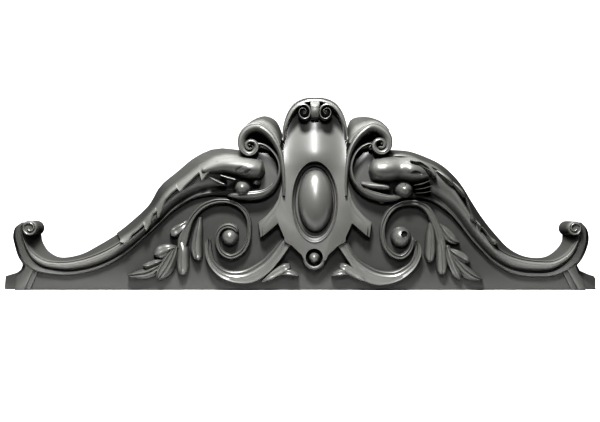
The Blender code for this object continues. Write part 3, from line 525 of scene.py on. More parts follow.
def addGouge(cutters, name, rows):
    # a round-bottomed cut along spine rows (across, down, half width, out)
    rings = []
    for i, ((x, z, half, out), (dx, dz)) in enumerate(sweptLine(rows, gouge["steps"])):
        share = max(0.05, math.sin(math.pi * (i + 0.4) / gouge["steps"]))
        floor = out - gouge["deep"] * share
        rings.append([(x - dz * half * side, z + dx * half * side, floor + height)
                      for side, height in gouge["across"]])
    makeForm(cutters, name, rings)


def addSprays(forms):
    low = field["out"] - field["sink"]
    fingerLow = serpents["edgeOut"] - leaves["fingerDeep"]
    turned = [(veins, mirrored(spine)) for veins, spine in leaves["bottomTips"]]
    addLeaves(forms, "leftSpray", leaves["leftSpray"], leaves["sprayOut"], low)
    addLeaves(forms, "rightSpray", leaves["rightSpray"], leaves["sprayOut"], low)
    addLeaves(forms, "leftTip", leaves["bottomTips"], leaves["tipOut"], low)
    addLeaves(forms, "rightTip", turned, leaves["tipOut"], low)
    addLeaves(forms, "finger", leaves["rightFingers"], leaves["fingerOut"], fingerLow)


spirals = {
    "out": 0.0485, "ballOut": 0.0545, "swell": 1.14, "steps": 200, "holeDeep": 0.012,
    "left": {"ball": (229.8, 237.3), "radius": 8.8, "stalk": [
        (181, 250, 4), (182.8, 240, 5), (186.6, 230, 3.9), (190.7, 221, 2.9), (196.2, 213, 2.5),
        (203.7, 206.3, 2.6), (212.3, 202.5, 2.5), (221, 201, 2.4), (231, 202.3, 2.3), (241, 207.5, 2.2),
        (247.7, 217.5, 2.2), (249.3, 231, 2.2), (247, 244.5, 2.3), (240.5, 253.3, 2.4), (230.5, 257.2, 2.4),
        (221.8, 253, 2.3), (217.4, 243, 2.2), (218.2, 233.5, 2.3), (222.8, 228, 2.5), (229.3, 226.5, 2.6),
        (235, 229, 2.3), (238.3, 234, 1.2)]},
    "right": {"ball": (401.3, 237.5), "radius": 10.4, "hole": (404.6, 234.8), "holeRadius": 3.4, "stalk": [
        (443, 250, 4.2), (441, 240, 4.4), (437.7, 229, 4), (433, 218, 3.8), (427.5, 209.5, 3.4),
        (420, 204.2, 3), (411, 202.9, 2.8), (402, 204, 2.7), (393, 208.8, 2.6), (386.6, 217.5, 2.6),
        (383, 229, 2.7), (383.6, 240.5, 2.6), (388.3, 250.8, 2.6), (394.5, 256, 2.5), (402, 257.3, 2.5),
        (408.5, 253, 2.4), (412.3, 245.5, 2), (413, 237, 0.8)]},
    # across the tube: a fine rim on both edges and a shallow hollow between
    "tube": [(-1, 0), (-0.98, 0.5), (-0.9, 0.78), (-0.76, 0.93), (-0.6, 0.99), (-0.46, 1.0), (-0.3, 0.93),
        (-0.1, 0.89), (0.1, 0.89), (0.3, 0.93), (0.46, 1.0), (0.6, 0.99), (0.76, 0.93), (0.9, 0.78),
        (0.98, 0.5), (1, 0)],
}


def addSpirals(forms, cutters):
    # a stalk that winds into a spiral round a ball, on each side
    low, top = field["out"] - field["sink"], spirals["ballOut"]
    for side in ("left", "right"):
        shape = spirals[side]
        rows = [(a, d, w * spirals["swell"], spirals["out"]) for a, d, w in shape["stalk"]]
        addBand(forms, side + "Stalk", rows, spirals["tube"], spirals["steps"], base=low, ends=(0.01, 0.02))
        addDome(forms, side + "Ball", shape["ball"], (shape["radius"],) * 2, top, field["out"])
    shape = spirals["right"]
    deep = top - spirals["holeDeep"]
    addTurned(cutters, "ballHole", shape["hole"], (shape["holeRadius"],) * 2,
              [(0.9, deep), (1.0, deep + 0.002), (1.05, cutTop)], sides=32, drawn=top)


# Sections of the lower arms: outer edge, raised line and inner line
arms = {
    "out": 0.052, "lineOut": 0.046, "edgeDrop": 0.003, "steps": 110,
    # across an arm: stretch (0 runs from the outer edge to the raised line, 1 on to the inner line),
    # share of that stretch, layer, lift over the layer
    "across": [(0, 0, "field", -0.005), (0, 0, "out", -0.0022), (0, 0.05, "out", -0.0008),
        (0, 0.11, "out", -0.0003), (0, 0.5, "out", -0.0012), (0, 0.8, "out", -0.0004),
        (0, 0.87, "out", 0.0003), (1, 0.1, "out", -0.0008), (1, 0.17, "line", 0.001),
        (1, 0.27, "line", -0.0002), (1, 0.6, "line", 0), (1, 0.76, "line", 0.0005),
        (1, 1.02, "line", -0.0005), (1, 1.2, "field", 0.001), (1, 1.3, "field", -0.005)],
    "left": [
        [(293, 242), (284.5, 240), (283.5, 238)], [(281, 259.5), (273, 256), (269.5, 254.5)],
        [(266, 276), (262, 266.5), (258, 264)], [(250, 283.5), (247, 274.8), (245, 270.7)],
        [(234, 282.8), (234, 276.4), (234, 272.3)], [(219, 276.5), (221.5, 272.8), (224, 270)],
        [(208.5, 264), (211.8, 263), (215, 262)], [(205, 251), (207.8, 251), (211.3, 251)],
        [(206.5, 240.5), (208.5, 240.5), (210.5, 241.5)], [(208.5, 238.6), (209.3, 238.5), (210, 238.9)],
    ],
    "right": [
        [(335, 242), (344.5, 240), (345.5, 238)], [(347, 260), (353, 257), (356.5, 257.5)],
        [(361, 279), (366, 269), (369.5, 267)], [(376, 285.3), (378, 274.5), (380, 271.5)],
        [(393, 283.5), (393.5, 276), (393, 272.3)], [(408, 275.7), (405, 271.5), (402, 269)],
        [(418, 264), (414.5, 263), (411, 262)], [(421.6, 250), (418.8, 250.5), (415, 250.5)],
        [(418.5, 242.5), (417.3, 242.8), (416, 244)], [(417, 241), (416.4, 241), (415.8, 241.6)],
    ],
}


def addArm(forms, name, sections):
    # a lower arm that sweeps out of the shield into a C scroll with a crescent tip
    layers = {"field": field["out"], "out": arms["out"], "line": arms["lineOut"]}
    flat = placedSections(sections, (arms["out"] - arms["edgeDrop"], arms["out"], arms["lineOut"]))
    rings = []
    for points in smoothRows(flat, arms["steps"]).reshape(-1, 3, 3):
        ring = []
        for stretch, share, layer, lift in arms["across"]:
            spot = points[stretch] * (1 - share) + points[stretch + 1] * share
            ring.append(np.append(spot[:2], layers[layer] + lift))
        rings.append(ring)
    makeForm(forms, name, rings)


flanks = {
    "out": 0.062, "strapOut": 0.058, "webOut": 0.014, "strapSink": 0.004, "webSpread": 0.0012,
    "crownDrop": 0.0012,
    "crownShares": (0.45, 0.12),  # how far a crown reaches towards its hub, at the back and at the front
    # how the volute and the curl of the strap wind in: radii, turns, half widths and number of steps
    "voluteTurn": {"start": 8.2, "end": 1.6, "turns": 1.45, "widths": (3.4, 1.3), "count": 16},
    "curlTurn": {"end": 1.2, "turns": 1.2, "widths": (1.2, 1.0), "count": 10},
    "eyeRadius": 2.6, "eyeRise": 0.002,
    "left": {
        "scroll": [(283.6, 196, 1.4), (283.6, 183, 1.6), (282.6, 168, 2), (280, 154, 2.5), (274.5, 142, 3.2),
            (266.5, 132.5, 4), (257, 127.5, 4.6), (248, 130, 4.5), (242.5, 137, 4)],
        "volute": (250.3, 146.3), "curl": (251.5, 147.2), "curlRadius": 4.4,
        "strap": [(226, 196, 1.6), (238, 196.5, 3.6), (250, 196.2, 4.6), (262, 194.6, 4.6),
            (271.5, 189.5, 3.6), (278, 180.5, 2.6), (280.3, 170, 1.9), (278, 159, 1.6), (271.5, 150, 1.4),
            (263, 144.2, 1.2), (256, 143.4, 1.2)],
        "crown": [
            [(241.5, 133.5), (245, 127)], [(244, 129.5), (248.5, 123.5)], [(248, 126), (253, 120.5)],
            [(252.5, 123.9), (257, 118.4)], [(257, 122.9), (261, 117)], [(261, 123), (264.5, 116.4)],
            [(265, 124.6), (267.5, 116.8)], [(268.4, 126.8), (270.8, 117.8)],
            [(271.3, 129.4), (273.8, 119.4)], [(274, 132.8), (276.6, 121.8)], [(276.4, 136.5), (279, 125.5)],
            [(278.5, 141), (281, 130.5)], [(280.3, 146), (283, 136)],
        ],
        "hub": (266, 150), "way": 1, "voluteFrom": 180, "curlFrom": 60,
        "web": [(243, 150), (241, 138), (246, 130), (256, 124), (266, 124), (275, 130), (281, 138),
            (284, 148), (286, 190), (270, 196), (252, 192), (248, 160)],
    },
    "right": {
        "scroll": [(346.8, 196, 1.4), (346.6, 183, 1.6), (347.6, 168, 2), (350, 154, 2.5), (355.5, 142, 3.2),
            (363.5, 132.5, 4), (373, 127.2, 4.6), (382, 130.5, 4.5), (388, 137.5, 4)],
        "volute": (380.8, 145), "curl": (371.2, 147.2), "curlRadius": 3.4,
        "strap": [(404, 197.5, 1.6), (392, 199, 3.4), (380, 197.6, 4.4), (368.5, 193.8, 4.4),
            (359, 187.5, 3.4), (353, 179.5, 2.6), (351, 170, 1.9), (352.6, 160, 1.6), (357.5, 151, 1.4),
            (364.5, 145.2, 1.2), (370.5, 143.6, 1.2)],
        "crown": [
            [(349, 143), (346.8, 131)], [(350.8, 139), (348, 126)], [(353.3, 135), (350, 121)],
            [(356.5, 131.7), (353.2, 118.8)], [(360, 128.9), (357, 117.6)], [(364, 126.3), (361.5, 117.1)],
            [(368, 124.6), (366.5, 117.2)], [(372.3, 123), (371, 117.9)], [(376.5, 122.8), (375.5, 119.3)],
            [(380.5, 123.9), (379.5, 121)], [(384, 126), (382.9, 123.2)], [(387.2, 128.8), (386.2, 126.2)],
            [(389.5, 132), (388.8, 129.4)],
        ],
        "hub": (364, 150), "way": -1, "voluteFrom": 0, "curlFrom": 110,
        "web": [(388, 150), (390, 140), (386, 131), (376, 125), (366, 124), (355, 131), (349.5, 138),
            (346.5, 148), (344.5, 190), (360, 196), (378, 192), (384, 160)],
    },
    # across the scroll and across the strap, from its outer edge (-1) to its inner edge (1)
    "wall": [(-1, 0), (-1, 0.972), (-0.96, 0.979), (-0.78, 0.994), (-0.7, 1.0), (-0.6, 0.99), (-0.5, 0.99),
        (-0.1, 1.0), (0.3, 0.985), (0.6, 0.955), (0.84, 0.915), (0.95, 0.88), (1, 0.82), (1, 0)],
    "band": [(-1, 0), (-0.99, 0.42), (-0.9, 0.6), (-0.7, 0.76), (-0.4, 0.88), (-0.1, 0.95), (0.2, 0.985),
        (0.45, 0.99), (0.56, 0.975), (0.66, 0.985), (0.78, 1.0), (0.88, 0.985), (0.96, 0.93), (1, 0.8),
        (1, 0)],
}


def addCrown(forms, name, shape):
    # the top of a flank scroll, which slopes up from its front edge to its back edge
    edge = flanks["out"] - flanks["crownDrop"]
    backShare, frontShare = flanks["crownShares"]
    rings = []
    for front, back in shape["crown"]:
        ring = []
        corners = ((front, edge, 0), (back, 0, 0), (back, 0, backShare), (front, edge, frontShare))
        for spot, out, share in corners:
            across, down = (value + (middle - value) * share for value, middle in zip(spot, shape["hub"]))
            ring.append(place(across, down, out))
        rise = (np.array(ring[0]) + np.array(ring[1])) / 2 + (0, flanks["crownDrop"], 0)
        rings.append([ring[0], rise, *ring[1:]])
    makeForm(forms, name, rings)


def addFlanks(forms):
    # each flank scroll has a volute, a web behind it and a strap that runs down to the head
    out, strapOut = flanks["out"], flanks["strapOut"]
    for side in ("left", "right"):
        shape, way = flanks[side], flanks[side]["way"]
        wall, strap = ([(way * share, height) for share, height in flanks[name]] for name in ("wall", "band"))
        addPlate(forms, side + "Web", shape["web"], flanks["webOut"], spread=flanks["webSpread"])
        addCrown(forms, side + "Crown", shape)
        rows = [row + (out,) for row in shape["scroll"]]
        rows += spiralRows(shape["volute"], fromAngle=math.radians(shape["voluteFrom"]), out=out, way=way,
                           **flanks["voluteTurn"])[1:]
        addBand(forms, side + "Scroll", rows, wall, 170, ends=(0.0, 0.01))
        rows = [row + (strapOut,) for row in shape["strap"]]
        rows += spiralRows(shape["curl"], shape["curlRadius"], fromAngle=math.radians(shape["curlFrom"]),
                           out=strapOut, way=way, **flanks["curlTurn"])[1:]
        addBand(forms, side + "Strap", rows, strap, 150, base=field["out"] - flanks["strapSink"],
                ends=(0.05, 0.01))
        addDome(forms, side + "Eye", shape["volute"], (flanks["eyeRadius"],) * 2, out + flanks["eyeRise"],
                flanks["webOut"], sides=24)


heads = {
    "out": 0.076, "cupOut": 0.038, "ballOut": 0.068, "budOut": 0.062, "fringeOut": 0.067,
    "leftCup": [(236, 160), (256, 152), (268, 153), (276, 161), (279, 170), (277, 180), (268, 190),
        (250, 194), (236, 192), (230, 180)],
    "rightCup": [(396, 160), (376, 151), (364, 152), (355, 161), (352, 172), (355, 182), (364, 191),
        (380, 196), (396, 196), (404, 180)],
    # bulb spines: (across, down, half width, how far below the full height)
    "leftBulb": [(200, 172, 4, 0.018), (214, 168, 8.4, 0.013), (226, 165.8, 10.4, 0.007),
        (238, 166.4, 11.6, 0.003), (249, 168, 12.2, 0), (257, 169.6, 11.2, 0.0025), (262, 170.8, 8, 0.008),
        (265, 171.5, 3.4, 0.017)],
    "rightBulb": [(369.5, 170.6, 5, 0.014), (374.5, 170.2, 11, 0.005), (383, 169.6, 14, 0.0005),
        (392, 168.8, 14.2, 0.0015), (401, 169, 12.8, 0.0052), (410, 169.6, 13.6, 0.0012),
        (419, 171.2, 13.2, 0.003), (427, 174, 10.4, 0.009), (432.5, 177, 4.4, 0.018)],
    # gouges cut into the bulbs, and the leaf tips that hang below them
    "leftGouges": [
        [(220, 176, 0.6), (224, 171.6, 1.2), (229, 167.6, 1.3), (233, 165, 0.5)],
        [(229, 177.4, 0.6), (233.6, 173, 1.3), (238.6, 168.8, 1.4), (243, 166, 0.5)],
        [(238.6, 178, 0.6), (243, 174.6, 1.1), (247.6, 171.4, 1.1), (251, 169.4, 0.5)],
    ],
    "rightGouges": [
        [(411, 165, 0.5), (418, 163.6, 1.3), (425, 166.6, 1.1), (431, 170.6, 0.5)],
        [(409, 174.6, 0.5), (415, 172.6, 1.2), (422, 174.2, 1.1), (428, 177, 0.5)],
    ],
    "leftTips": [
        [(220, 175.4, 1), (227, 177.8, 2.2), (233, 179.4, 2), (237, 180.2, 0.9)],
        [(209, 177.4, 0.8), (215, 180.6, 1.7), (221, 183.4, 1.6), (226, 185, 0.7)],
    ],
    "rightTips": [
        [(431, 181, 0.6), (423, 184, 1.3), (414, 185.8, 0.6)],
        [(433, 186, 0.6), (424, 188.6, 1.3), (415, 189.8, 0.6)],
        [(432, 191.4, 0.5), (424, 193, 1.1), (416, 193.6, 0.5)],
    ],
    "rightLip": [(361, 183.6, 1.8), (369, 185.4, 3.8), (378, 186.4, 4.4), (386, 187.2, 4), (391.5, 188.8, 2)],
    "rightCrest": [(410, 160.4, 1.4), (419, 162.6, 3.6), (428, 167.6, 4.6), (434, 173.4, 3.8),
        (437, 179, 1.4)],
    # name, middle, radii, depth, how much lower its foot lies than the others, sides
    "balls": [
        ("leftBall", (242.8, 188.3), (9.6, 9.2), "ballOut", 0.0, 48),
        ("leftBud", (256.3, 182.7), (5, 4.2), "budOut", 0.0, 32),
        ("rightBall", (404, 190), (10.6, 9.6), "ballOut", 0.002, 48),
    ],
    "eye": (404, 185.2), "eyeRadii": (2.7, 2.4), "eyeDeep": 0.009,
    "sink": 0.004, "bulbSink": 0.008, "gougeDrop": 0.0005, "tipDrop": 0.0025,
}


def addHeads(forms, cutters):
    # the leaf heads: curled bulbs over a cup, with a ball, a bud and a thin jaw
    low = heads["cupOut"] - heads["sink"]
    for side in ("left", "right"):
        addPlate(forms, side + "Cup", heads[side + "Cup"], heads["cupOut"], base=field["bed"])
        rows = [(a, d, w, heads["out"] - drop) for a, d, w, drop in heads[side + "Bulb"]]
        addBand(forms, side + "Bulb", rows, roundedProfile(41), 70, base=heads["cupOut"] - heads["bulbSink"],
                ends=(0.06, 0.08))
        for index, cut in enumerate(heads[side + "Gouges"]):
            rows = [(a, d, w * gouge["swell"], heads["out"] - heads["gougeDrop"]) for a, d, w in cut]
            addGouge(cutters, f"{side}Gouge{index}", rows)
        for index, tip in enumerate(heads[side + "Tips"]):
            rows = [(a, d, w, heads["fringeOut"] - heads["tipDrop"] * index) for a, d, w in tip]
            addBand(forms, f"{side}HeadTip{index}", rows, roundedProfile(17, 2.4, 0.08, 0.1), 30, base=low,
                    ends=(0.03, 0.08))
    for name, middle, radii, layer, under, sides in heads["balls"]:
        addDome(forms, name, middle, radii, heads[layer], low - under, sides)
    top, deep = heads["ballOut"], heads["ballOut"] - heads["eyeDeep"]
    addTurned(cutters, "ballEye", heads["eye"], heads["eyeRadii"],
              [(0.9, deep), (1.0, deep + 0.002), (1.1, cutTop)], sides=28, drawn=top)
    for name, out in (("rightLip", heads["budOut"]), ("rightCrest", heads["out"] - 0.001)):
        rows = [row + (out,) for row in heads[name]]
        addBand(forms, name, rows, roundedProfile(17, 2.4), 40, base=low - 0.002, ends=(0.04, 0.1))


shield = {
    "out": 0.056, "rise": 0.0078, "ridge": 0.98, "lean": 0.0095, "stepOut": 0.051, "hoodOut": 0.064,
    # half outlines from the crown down: (distance from the middle line, down)
    "side": [(9, 98.5), (15.5, 101), (20, 104.6), (25, 110.8), (28.5, 118), (30.2, 125), (31, 133),
        (31.3, 142), (31.2, 160), (31.2, 184)],
    "body": [(31, 180), (31.4, 185), (33.8, 195), (36.6, 204.5), (40.5, 213.2), (46, 219.8), (53.2, 227),
        (52, 236.6), (37.2, 224), (31, 238), (31, 242), (23.2, 246.3), (13.5, 255.5), (10.8, 261)],
    "step": [(31, 168), (32, 177), (33.6, 186), (37, 199.5), (41.6, 207.7), (48, 215.5), (57, 222.8),
        (54.6, 238.2), (37.5, 223.2), (31, 214)],
    # the ridge runs out downwards and towards the top, and the face leans back under the hood
    "fadeFrom": 150, "fadeTo": 182, "fadeTop": 97, "fadeOver": 10, "leanFrom": 168, "leanTo": 114,
    "rows": 64, "columns": 48, "sideDrop": 0.02, "stepChamfer": 0.0014,
}


def bothSides(half):
    # a closed outline from its right half
    right = [(sheet["shieldMiddle"] + reach, down) for reach, down in half]
    return right + [(sheet["shieldMiddle"] - reach, down) for reach, down in reversed(half) if reach > 0]


def ridgeLift(share):
    # a rounded ridge down the middle of the face that runs out into hollow sides
    return eased(abs(share) / shield["ridge"])


def addShield(forms):
    # an arched face with a middle ridge, on a stepped body with ears
    middle = sheet["shieldMiddle"]
    shares = [-1 + 2 * i / shield["columns"] for i in range(shield["columns"] + 1)]
    rings = []
    for down, reach in smoothRows([(down, reach) for reach, down in shield["side"]], shield["rows"]):
        fade = eased((down - shield["fadeFrom"]) / (shield["fadeTo"] - shield["fadeFrom"]))
        fade *= clamped((down - shield["fadeTop"]) / shield["fadeOver"])
        back = clamped((shield["leanFrom"] - down) / (shield["leanFrom"] - shield["leanTo"]))
        face = shield["out"] - shield["lean"] * back * back * (3 - 2 * back)
        ring = [place(middle + reach * share, down, face + shield["rise"] * ridgeLift(share) * fade)
                for share in shares]
        seen = shield["out"] - shield["sideDrop"]
        ring += [place(middle + end, down, 0.0, seen) for end in (reach, -reach)]
        rings.append(ring)
    makeForm(forms, "shieldFace", rings)
    addPlate(forms, "shieldBody", bothSides(shield["body"]), shield["out"], base=field["bed"])
    addPlate(forms, "shieldStep", bothSides(shield["step"]), shield["stepOut"], base=field["bed"],
             chamfer=shield["stepChamfer"])


hood = {
    "curlOut": 0.073, "curlBase": 0.046, "curlRise": 0.008, "curlSteps": 110,
    "bed": (304.4, 112.4), "bedRadii": (5.6, 6.4), "bedDrop": 0.005,
    # across the rim and across the tongue: (side, share of the full depth from the back)
    "rimAcross": [(-1, 0), (-1, 0.984), (-0.84, 0.992), (-0.62, 1), (-0.42, 0.99), (0.2, 0.982), (0.5, 0.99),
        (0.72, 1), (0.9, 0.99), (1, 0.975), (1, 0)],
    "tongueAcross": [(-1, 0), (-1, 0.93), (-0.85, 0.975), (-0.5, 1), (0.5, 1), (0.85, 0.975), (1, 0.93),
        (1, 0)],
    "rim": [(283.6, 141, 0.9), (283.9, 131, 1.2), (286.4, 121, 1.7), (290.8, 111.8, 2.3), (297.2, 104.6, 2.6),
        (305.2, 100.9, 2.5), (315.2, 100.0, 2.1)],
    "curl": [(285.2, 138, 0.5), (286.6, 127, 0.9), (290, 117.5, 1.3), (294.6, 110, 1.7), (300, 105.7, 1.9),
        (305.4, 105.1, 1.9), (309.2, 108.4, 1.8), (310.3, 113.3, 1.7), (308.4, 117.7, 1.6),
        (304.4, 118.9, 1.5), (300.6, 116.7, 1.4), (299.3, 112.4, 1.3), (301.1, 109, 1.2), (304.4, 108.6, 1.1),
        (306.2, 111.3, 1.0), (305.3, 114, 0.9), (302.9, 113.6, 0.8)],
    "tongue": [(4.4, 101.6, 0.066), (4.4, 104, 0.075), (4.1, 109, 0.0775), (3.9, 114, 0.0765),
        (4.0, 118, 0.073), (3.9, 120.2, 0.069)],
}


def addHood(forms):
    # the arched rim at the crown, with a small volute on each side and a tongue between them
    low, top = hood["curlBase"], hood["curlOut"]
    arch = [row + (shield["hoodOut"],) for row in hood["rim"] + mirrored(hood["rim"][:-1])[::-1]]
    addBand(forms, "hoodRim", arch, hood["rimAcross"], 90, base=field["bed"])
    left = [row + (top - hood["curlRise"] * max(0.0, 1 - i / 4),) for i, row in enumerate(hood["curl"])]
    across = roundedProfile(13, fullness=2.6)
    for name, rows in (("leftCurl", left), ("rightCurl", mirrored(left))):
        addBand(forms, name, rows, across, hood["curlSteps"], base=low, ends=(0.02, 0.02))
    for name, spot in (("leftCurlBed", hood["bed"]), ("rightCurlBed", mirrored([hood["bed"]])[0])):
        addDome(forms, name, spot, hood["bedRadii"], top - hood["bedDrop"], low)
    tongue = [(sheet["shieldMiddle"], down, half, out) for half, down, out in hood["tongue"]]
    addBand(forms, "tongue", tongue, hood["tongueAcross"], 30, base=low, ends=(0.0, 0.16))


oval = {
    "middle": (314.9, 201.6), "radii": (22.6, 40.6), "bossMiddle": (315.7, 201), "bossRadii": (17.6, 31),
    "floorOut": 0.044, "ledgeOut": 0.0495, "lip": 0.0018, "bossOut": 0.071,
    "cutShare": 0.97, "sides": 112, "bossSides": 96, "bossFullness": 0.9, "bossDeep": 0.006,
    # across the rim, inwards: (share of the radii, layer, lift over the layer)
    "across": [(1.012, "floor", -0.004), (1.012, "top", -0.0012), (1.0, "top", -0.0003), (0.99, "top", 0),
        (0.975, "top", -0.0002), (0.958, "top", -0.0015), (0.95, "ledge", 0.001), (0.94, "ledge", 0),
        (0.9, "ledge", -0.0004), (0.89, "ledge", 0.0006), (0.875, "ledge", 0.0012), (0.86, "ledge", 0.0004),
        (0.85, "floor", 0.001), (0.83, "floor", -0.002)],
}


def addOval(cutters, insets):
    # an oval recess with a fine lip, a ledge with a second bead, and a smooth boss
    middle, radii, sides, drawn = oval["middle"], oval["radii"], oval["sides"], shield["out"]
    floor, boss = oval["floorOut"], oval["bossOut"]
    layers = {"floor": floor, "ledge": oval["ledgeOut"], "top": drawn + oval["lip"]}
    cut = [(oval["cutShare"], out) for out in (floor, cutTop)]
    addTurned(cutters, "ovalCut", middle, radii, cut, sides, drawn)
    profile = [(share, layers[layer] + lift) for share, layer, lift in oval["across"]]
    addTurned(insets, "ovalRim", middle, radii, profile, sides, drawn)
    rings = [(1.0, floor - oval["bossDeep"]), (1.0, floor)]
    for i in range(1, 17):
        lift = math.pi / 2 * i / 16.4
        rings.append((math.cos(lift), floor + (boss - floor) * math.sin(lift) ** oval["bossFullness"]))
    addTurned(insets, "boss", oval["bossMiddle"], oval["bossRadii"], rings, oval["bossSides"], drawn)


pendant = {
    "middle": (314.4, 257.8), "radii": (11.4, 12.2), "hole": (8.4, 8.6), "out": 0.055, "sides": 64,
    "bead": 6.4, "beadRise": 0.004, "beadFoot": 0.003,
    # across the ring, inwards: (share of the radii, how far below its top)
    "across": [(1.0, 0.004), (0.97, 0.0025), (0.9, 0.0022), (0.86, 0.0004), (0.82, 0), (0.77, 0.0003)],
}


def addPendant(forms, cutters, insets):
    # the ring with a bead at the foot of the shield
    out, middle, sides = pendant["out"], pendant["middle"], pendant["sides"]
    profile = [(1.0, field["bed"])] + [(share, out - below) for share, below in pendant["across"]]
    cut = [(1.0, field["out"]), (1.0, cutTop)]
    addTurned(forms, "ring", middle, pendant["radii"], profile, sides, drawn=profile[-1][1])
    addTurned(cutters, "ringCut", middle, pendant["hole"], cut, sides, drawn=out)
    addDome(insets, "bead", middle, (pendant["bead"],) * 2, out + pendant["beadRise"],
            field["out"] + pendant["beadFoot"], sides=40)


def joined(body, others, operation):
    # joins the other forms to the body, or cuts them from it, and drops them
    group = bpy.data.collections.new("forms")
    for other in others:
        group.objects.link(other)
    step = body.modifiers.new("carve", "BOOLEAN")
    step.operation = operation
    step.operand_type = "COLLECTION"
    step.collection = group
    step.solver = "MANIFOLD"
    graph = bpy.context.evaluated_depsgraph_get()
    mesh = bpy.data.meshes.new_from_object(body.evaluated_get(graph))
    body.modifiers.clear()
    body.data = mesh
    for other in others:
        bpy.data.objects.remove(other)
    bpy.data.collections.remove(group)
    print(operation.lower(), len(mesh.polygons), "faces", round(time.time() - started, 1), "s")


finish = {
    "grey": (0.08, 0.08, 0.076), "dark": 0.93, "light": 1.07, "tintScale": 9.0,
    "roughness": 0.36, "smoother": 0.04, "rougher": 0.05,
    "grainScale": 55.0, "grainDepth": 0.00006, "grainStrength": 0.35,
    "paintedShade": 0.45,            # painted shade: how dark the deep ground is painted against the raised carving, standing in for shade in the recesses
    "sharpFrom": 32,         # facets that meet at more degrees than this keep a crisp edge
}


def addNode(tree, kind, values, feeds):
    # a node with its plain values and the sockets that feed its inputs
    node = tree.nodes.new("ShaderNode" + kind)
    for socket, value in values.items():
        node.inputs[socket].default_value = value
    for socket, source in feeds.items():
        tree.links.new(source, node.inputs[socket])
    return node


def satinGrey():
    # satin graphite lacquer on carved wood: fine brush grain in the gloss and a soft tooled surface, with
    # painted shade that darkens the colour towards the deep ground
    material = bpy.data.materials.new("satinGrey")
    material.use_nodes = True
    tree = material.node_tree
    shader = tree.nodes["Principled BSDF"]
    shader.inputs["Metallic"].default_value = 0.0
    shader.inputs["Specular IOR Level"].default_value = 0.6
    shader.inputs["Coat Weight"].default_value = 0.15
    shader.inputs["Coat Roughness"].default_value = 0.25
    dark, light = (tuple(c * finish[tint] for c in finish["grey"]) + (1.0,) for tint in ("dark", "light"))
    spot = addNode(tree, "TexCoord", {}, {}).outputs["Object"]
    tint = addNode(tree, "TexNoise", {"Scale": finish["tintScale"], "Detail": 4.0}, {"Vector": spot})
    colour = addNode(tree, "MixRGB", {"Color1": dark, "Color2": light}, {"Fac": tint.outputs["Fac"]})
    depth = addNode(tree, "SeparateXYZ", {}, {"Vector": spot})
    # painted shade: the colour is multiplied darker from the raised carving down to the deep ground, standing
    # in for shade in the recesses
    ground, raised = backY - field["out"] + 0.001, backY - shield["stepOut"]
    paintedShade = addNode(tree, "MapRange",
                   {"From Min": ground, "From Max": raised, "To Min": finish["paintedShade"], "To Max": 1.0},
                   {"Value": depth.outputs["Y"]})
    shadedTone = addNode(tree, "MixRGB", {"Fac": 1.0},
                    {"Color1": colour.outputs["Color"], "Color2": paintedShade.outputs["Result"]})
    shadedTone.blend_type = "MULTIPLY"
    grain = addNode(tree, "TexNoise", {"Scale": finish["grainScale"], "Detail": 5.0}, {"Vector": spot})
    grain = grain.outputs["Fac"]
    smooth, rough = finish["roughness"] - finish["smoother"], finish["roughness"] + finish["rougher"]
    gloss = addNode(tree, "MapRange", {"To Min": smooth, "To Max": rough}, {"Value": grain})
    bump = addNode(tree, "Bump", {"Distance": finish["grainDepth"], "Strength": finish["grainStrength"]},
                   {"Height": grain})
    tree.links.new(shadedTone.outputs["Color"], shader.inputs["Base Color"])
    tree.links.new(gloss.outputs["Result"], shader.inputs["Roughness"])
    tree.links.new(bump.outputs["Normal"], shader.inputs["Normal"])
    return material


def carveCrest():
    # all forms joined into one body, cut, inlaid and trimmed level with the ground
    forms, cutters, insets, ground = [], [], [], []
    addPlate(forms, "field", field["outline"], field["out"], chamfer=field["chamfer"])
    addFeet(forms)
    for side in ("left", "right"):
        addSerpent(forms, side + "Serpent", serpents[side])
    for side in ("left", "right"):
        addRoll(forms, side)
    addSerpentLeaf(forms)
    addSprays(forms)
    addSpirals(forms, cutters)
    for side in ("left", "right"):
        addArm(forms, side + "Arm", arms[side])
    addFlanks(forms)
    addHeads(forms, cutters)
    addShield(forms)
    addHood(forms)
    addOval(cutters, insets)
    addPendant(forms, cutters, insets)
    print("forms made", len(forms), round(time.time() - started, 1), "s")
    crest = forms[0]
    joined(crest, forms[1:], "UNION")
    joined(crest, cutters, "DIFFERENCE")
    joined(crest, insets, "UNION")
    makeForm(ground, "ground", [[(-1, -0.2, out), (1, -0.2, out), (1, 0.0, out), (-1, 0.0, out)]
                                for out in (-0.05, cutTop)])
    joined(crest, ground, "DIFFERENCE")
    return crest


def fitToFrame(crest, node):
    # the carving fills the CAD model's box exactly
    low, high = (np.array(corner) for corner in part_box(node))
    places = np.empty(len(crest.data.vertices) * 3)
    crest.data.vertices.foreach_get("co", places)
    places = places.reshape(-1, 3)
    own = places.min(axis=0)
    size = places.max(axis=0) - own
    print("carving", [round(float(v) * 1000, 1) for v in size], "mm")
    places = low + (places - own) * (high - low) / size
    crest.data.vertices.foreach_set("co", places.ravel())
    crest.data.update()


def makeCrest():
    crest = carveCrest()
    crest.name = "carved_crest"
    crest.hide_render = False
    fitToFrame(crest, "scroll_onlay")
    crest.data.materials.clear()
    crest.data.materials.append(satinGrey())
    crest.data.shade_smooth()
    crest.data.set_sharp_from_angle(angle=math.radians(finish["sharpFrom"]))
    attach(crest, "root")
    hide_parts("scroll_onlay")
    triangles = sum(len(face.vertices) - 2 for face in crest.data.polygons)
    print("crest", triangles, "triangles", round(time.time() - started, 1), "s")


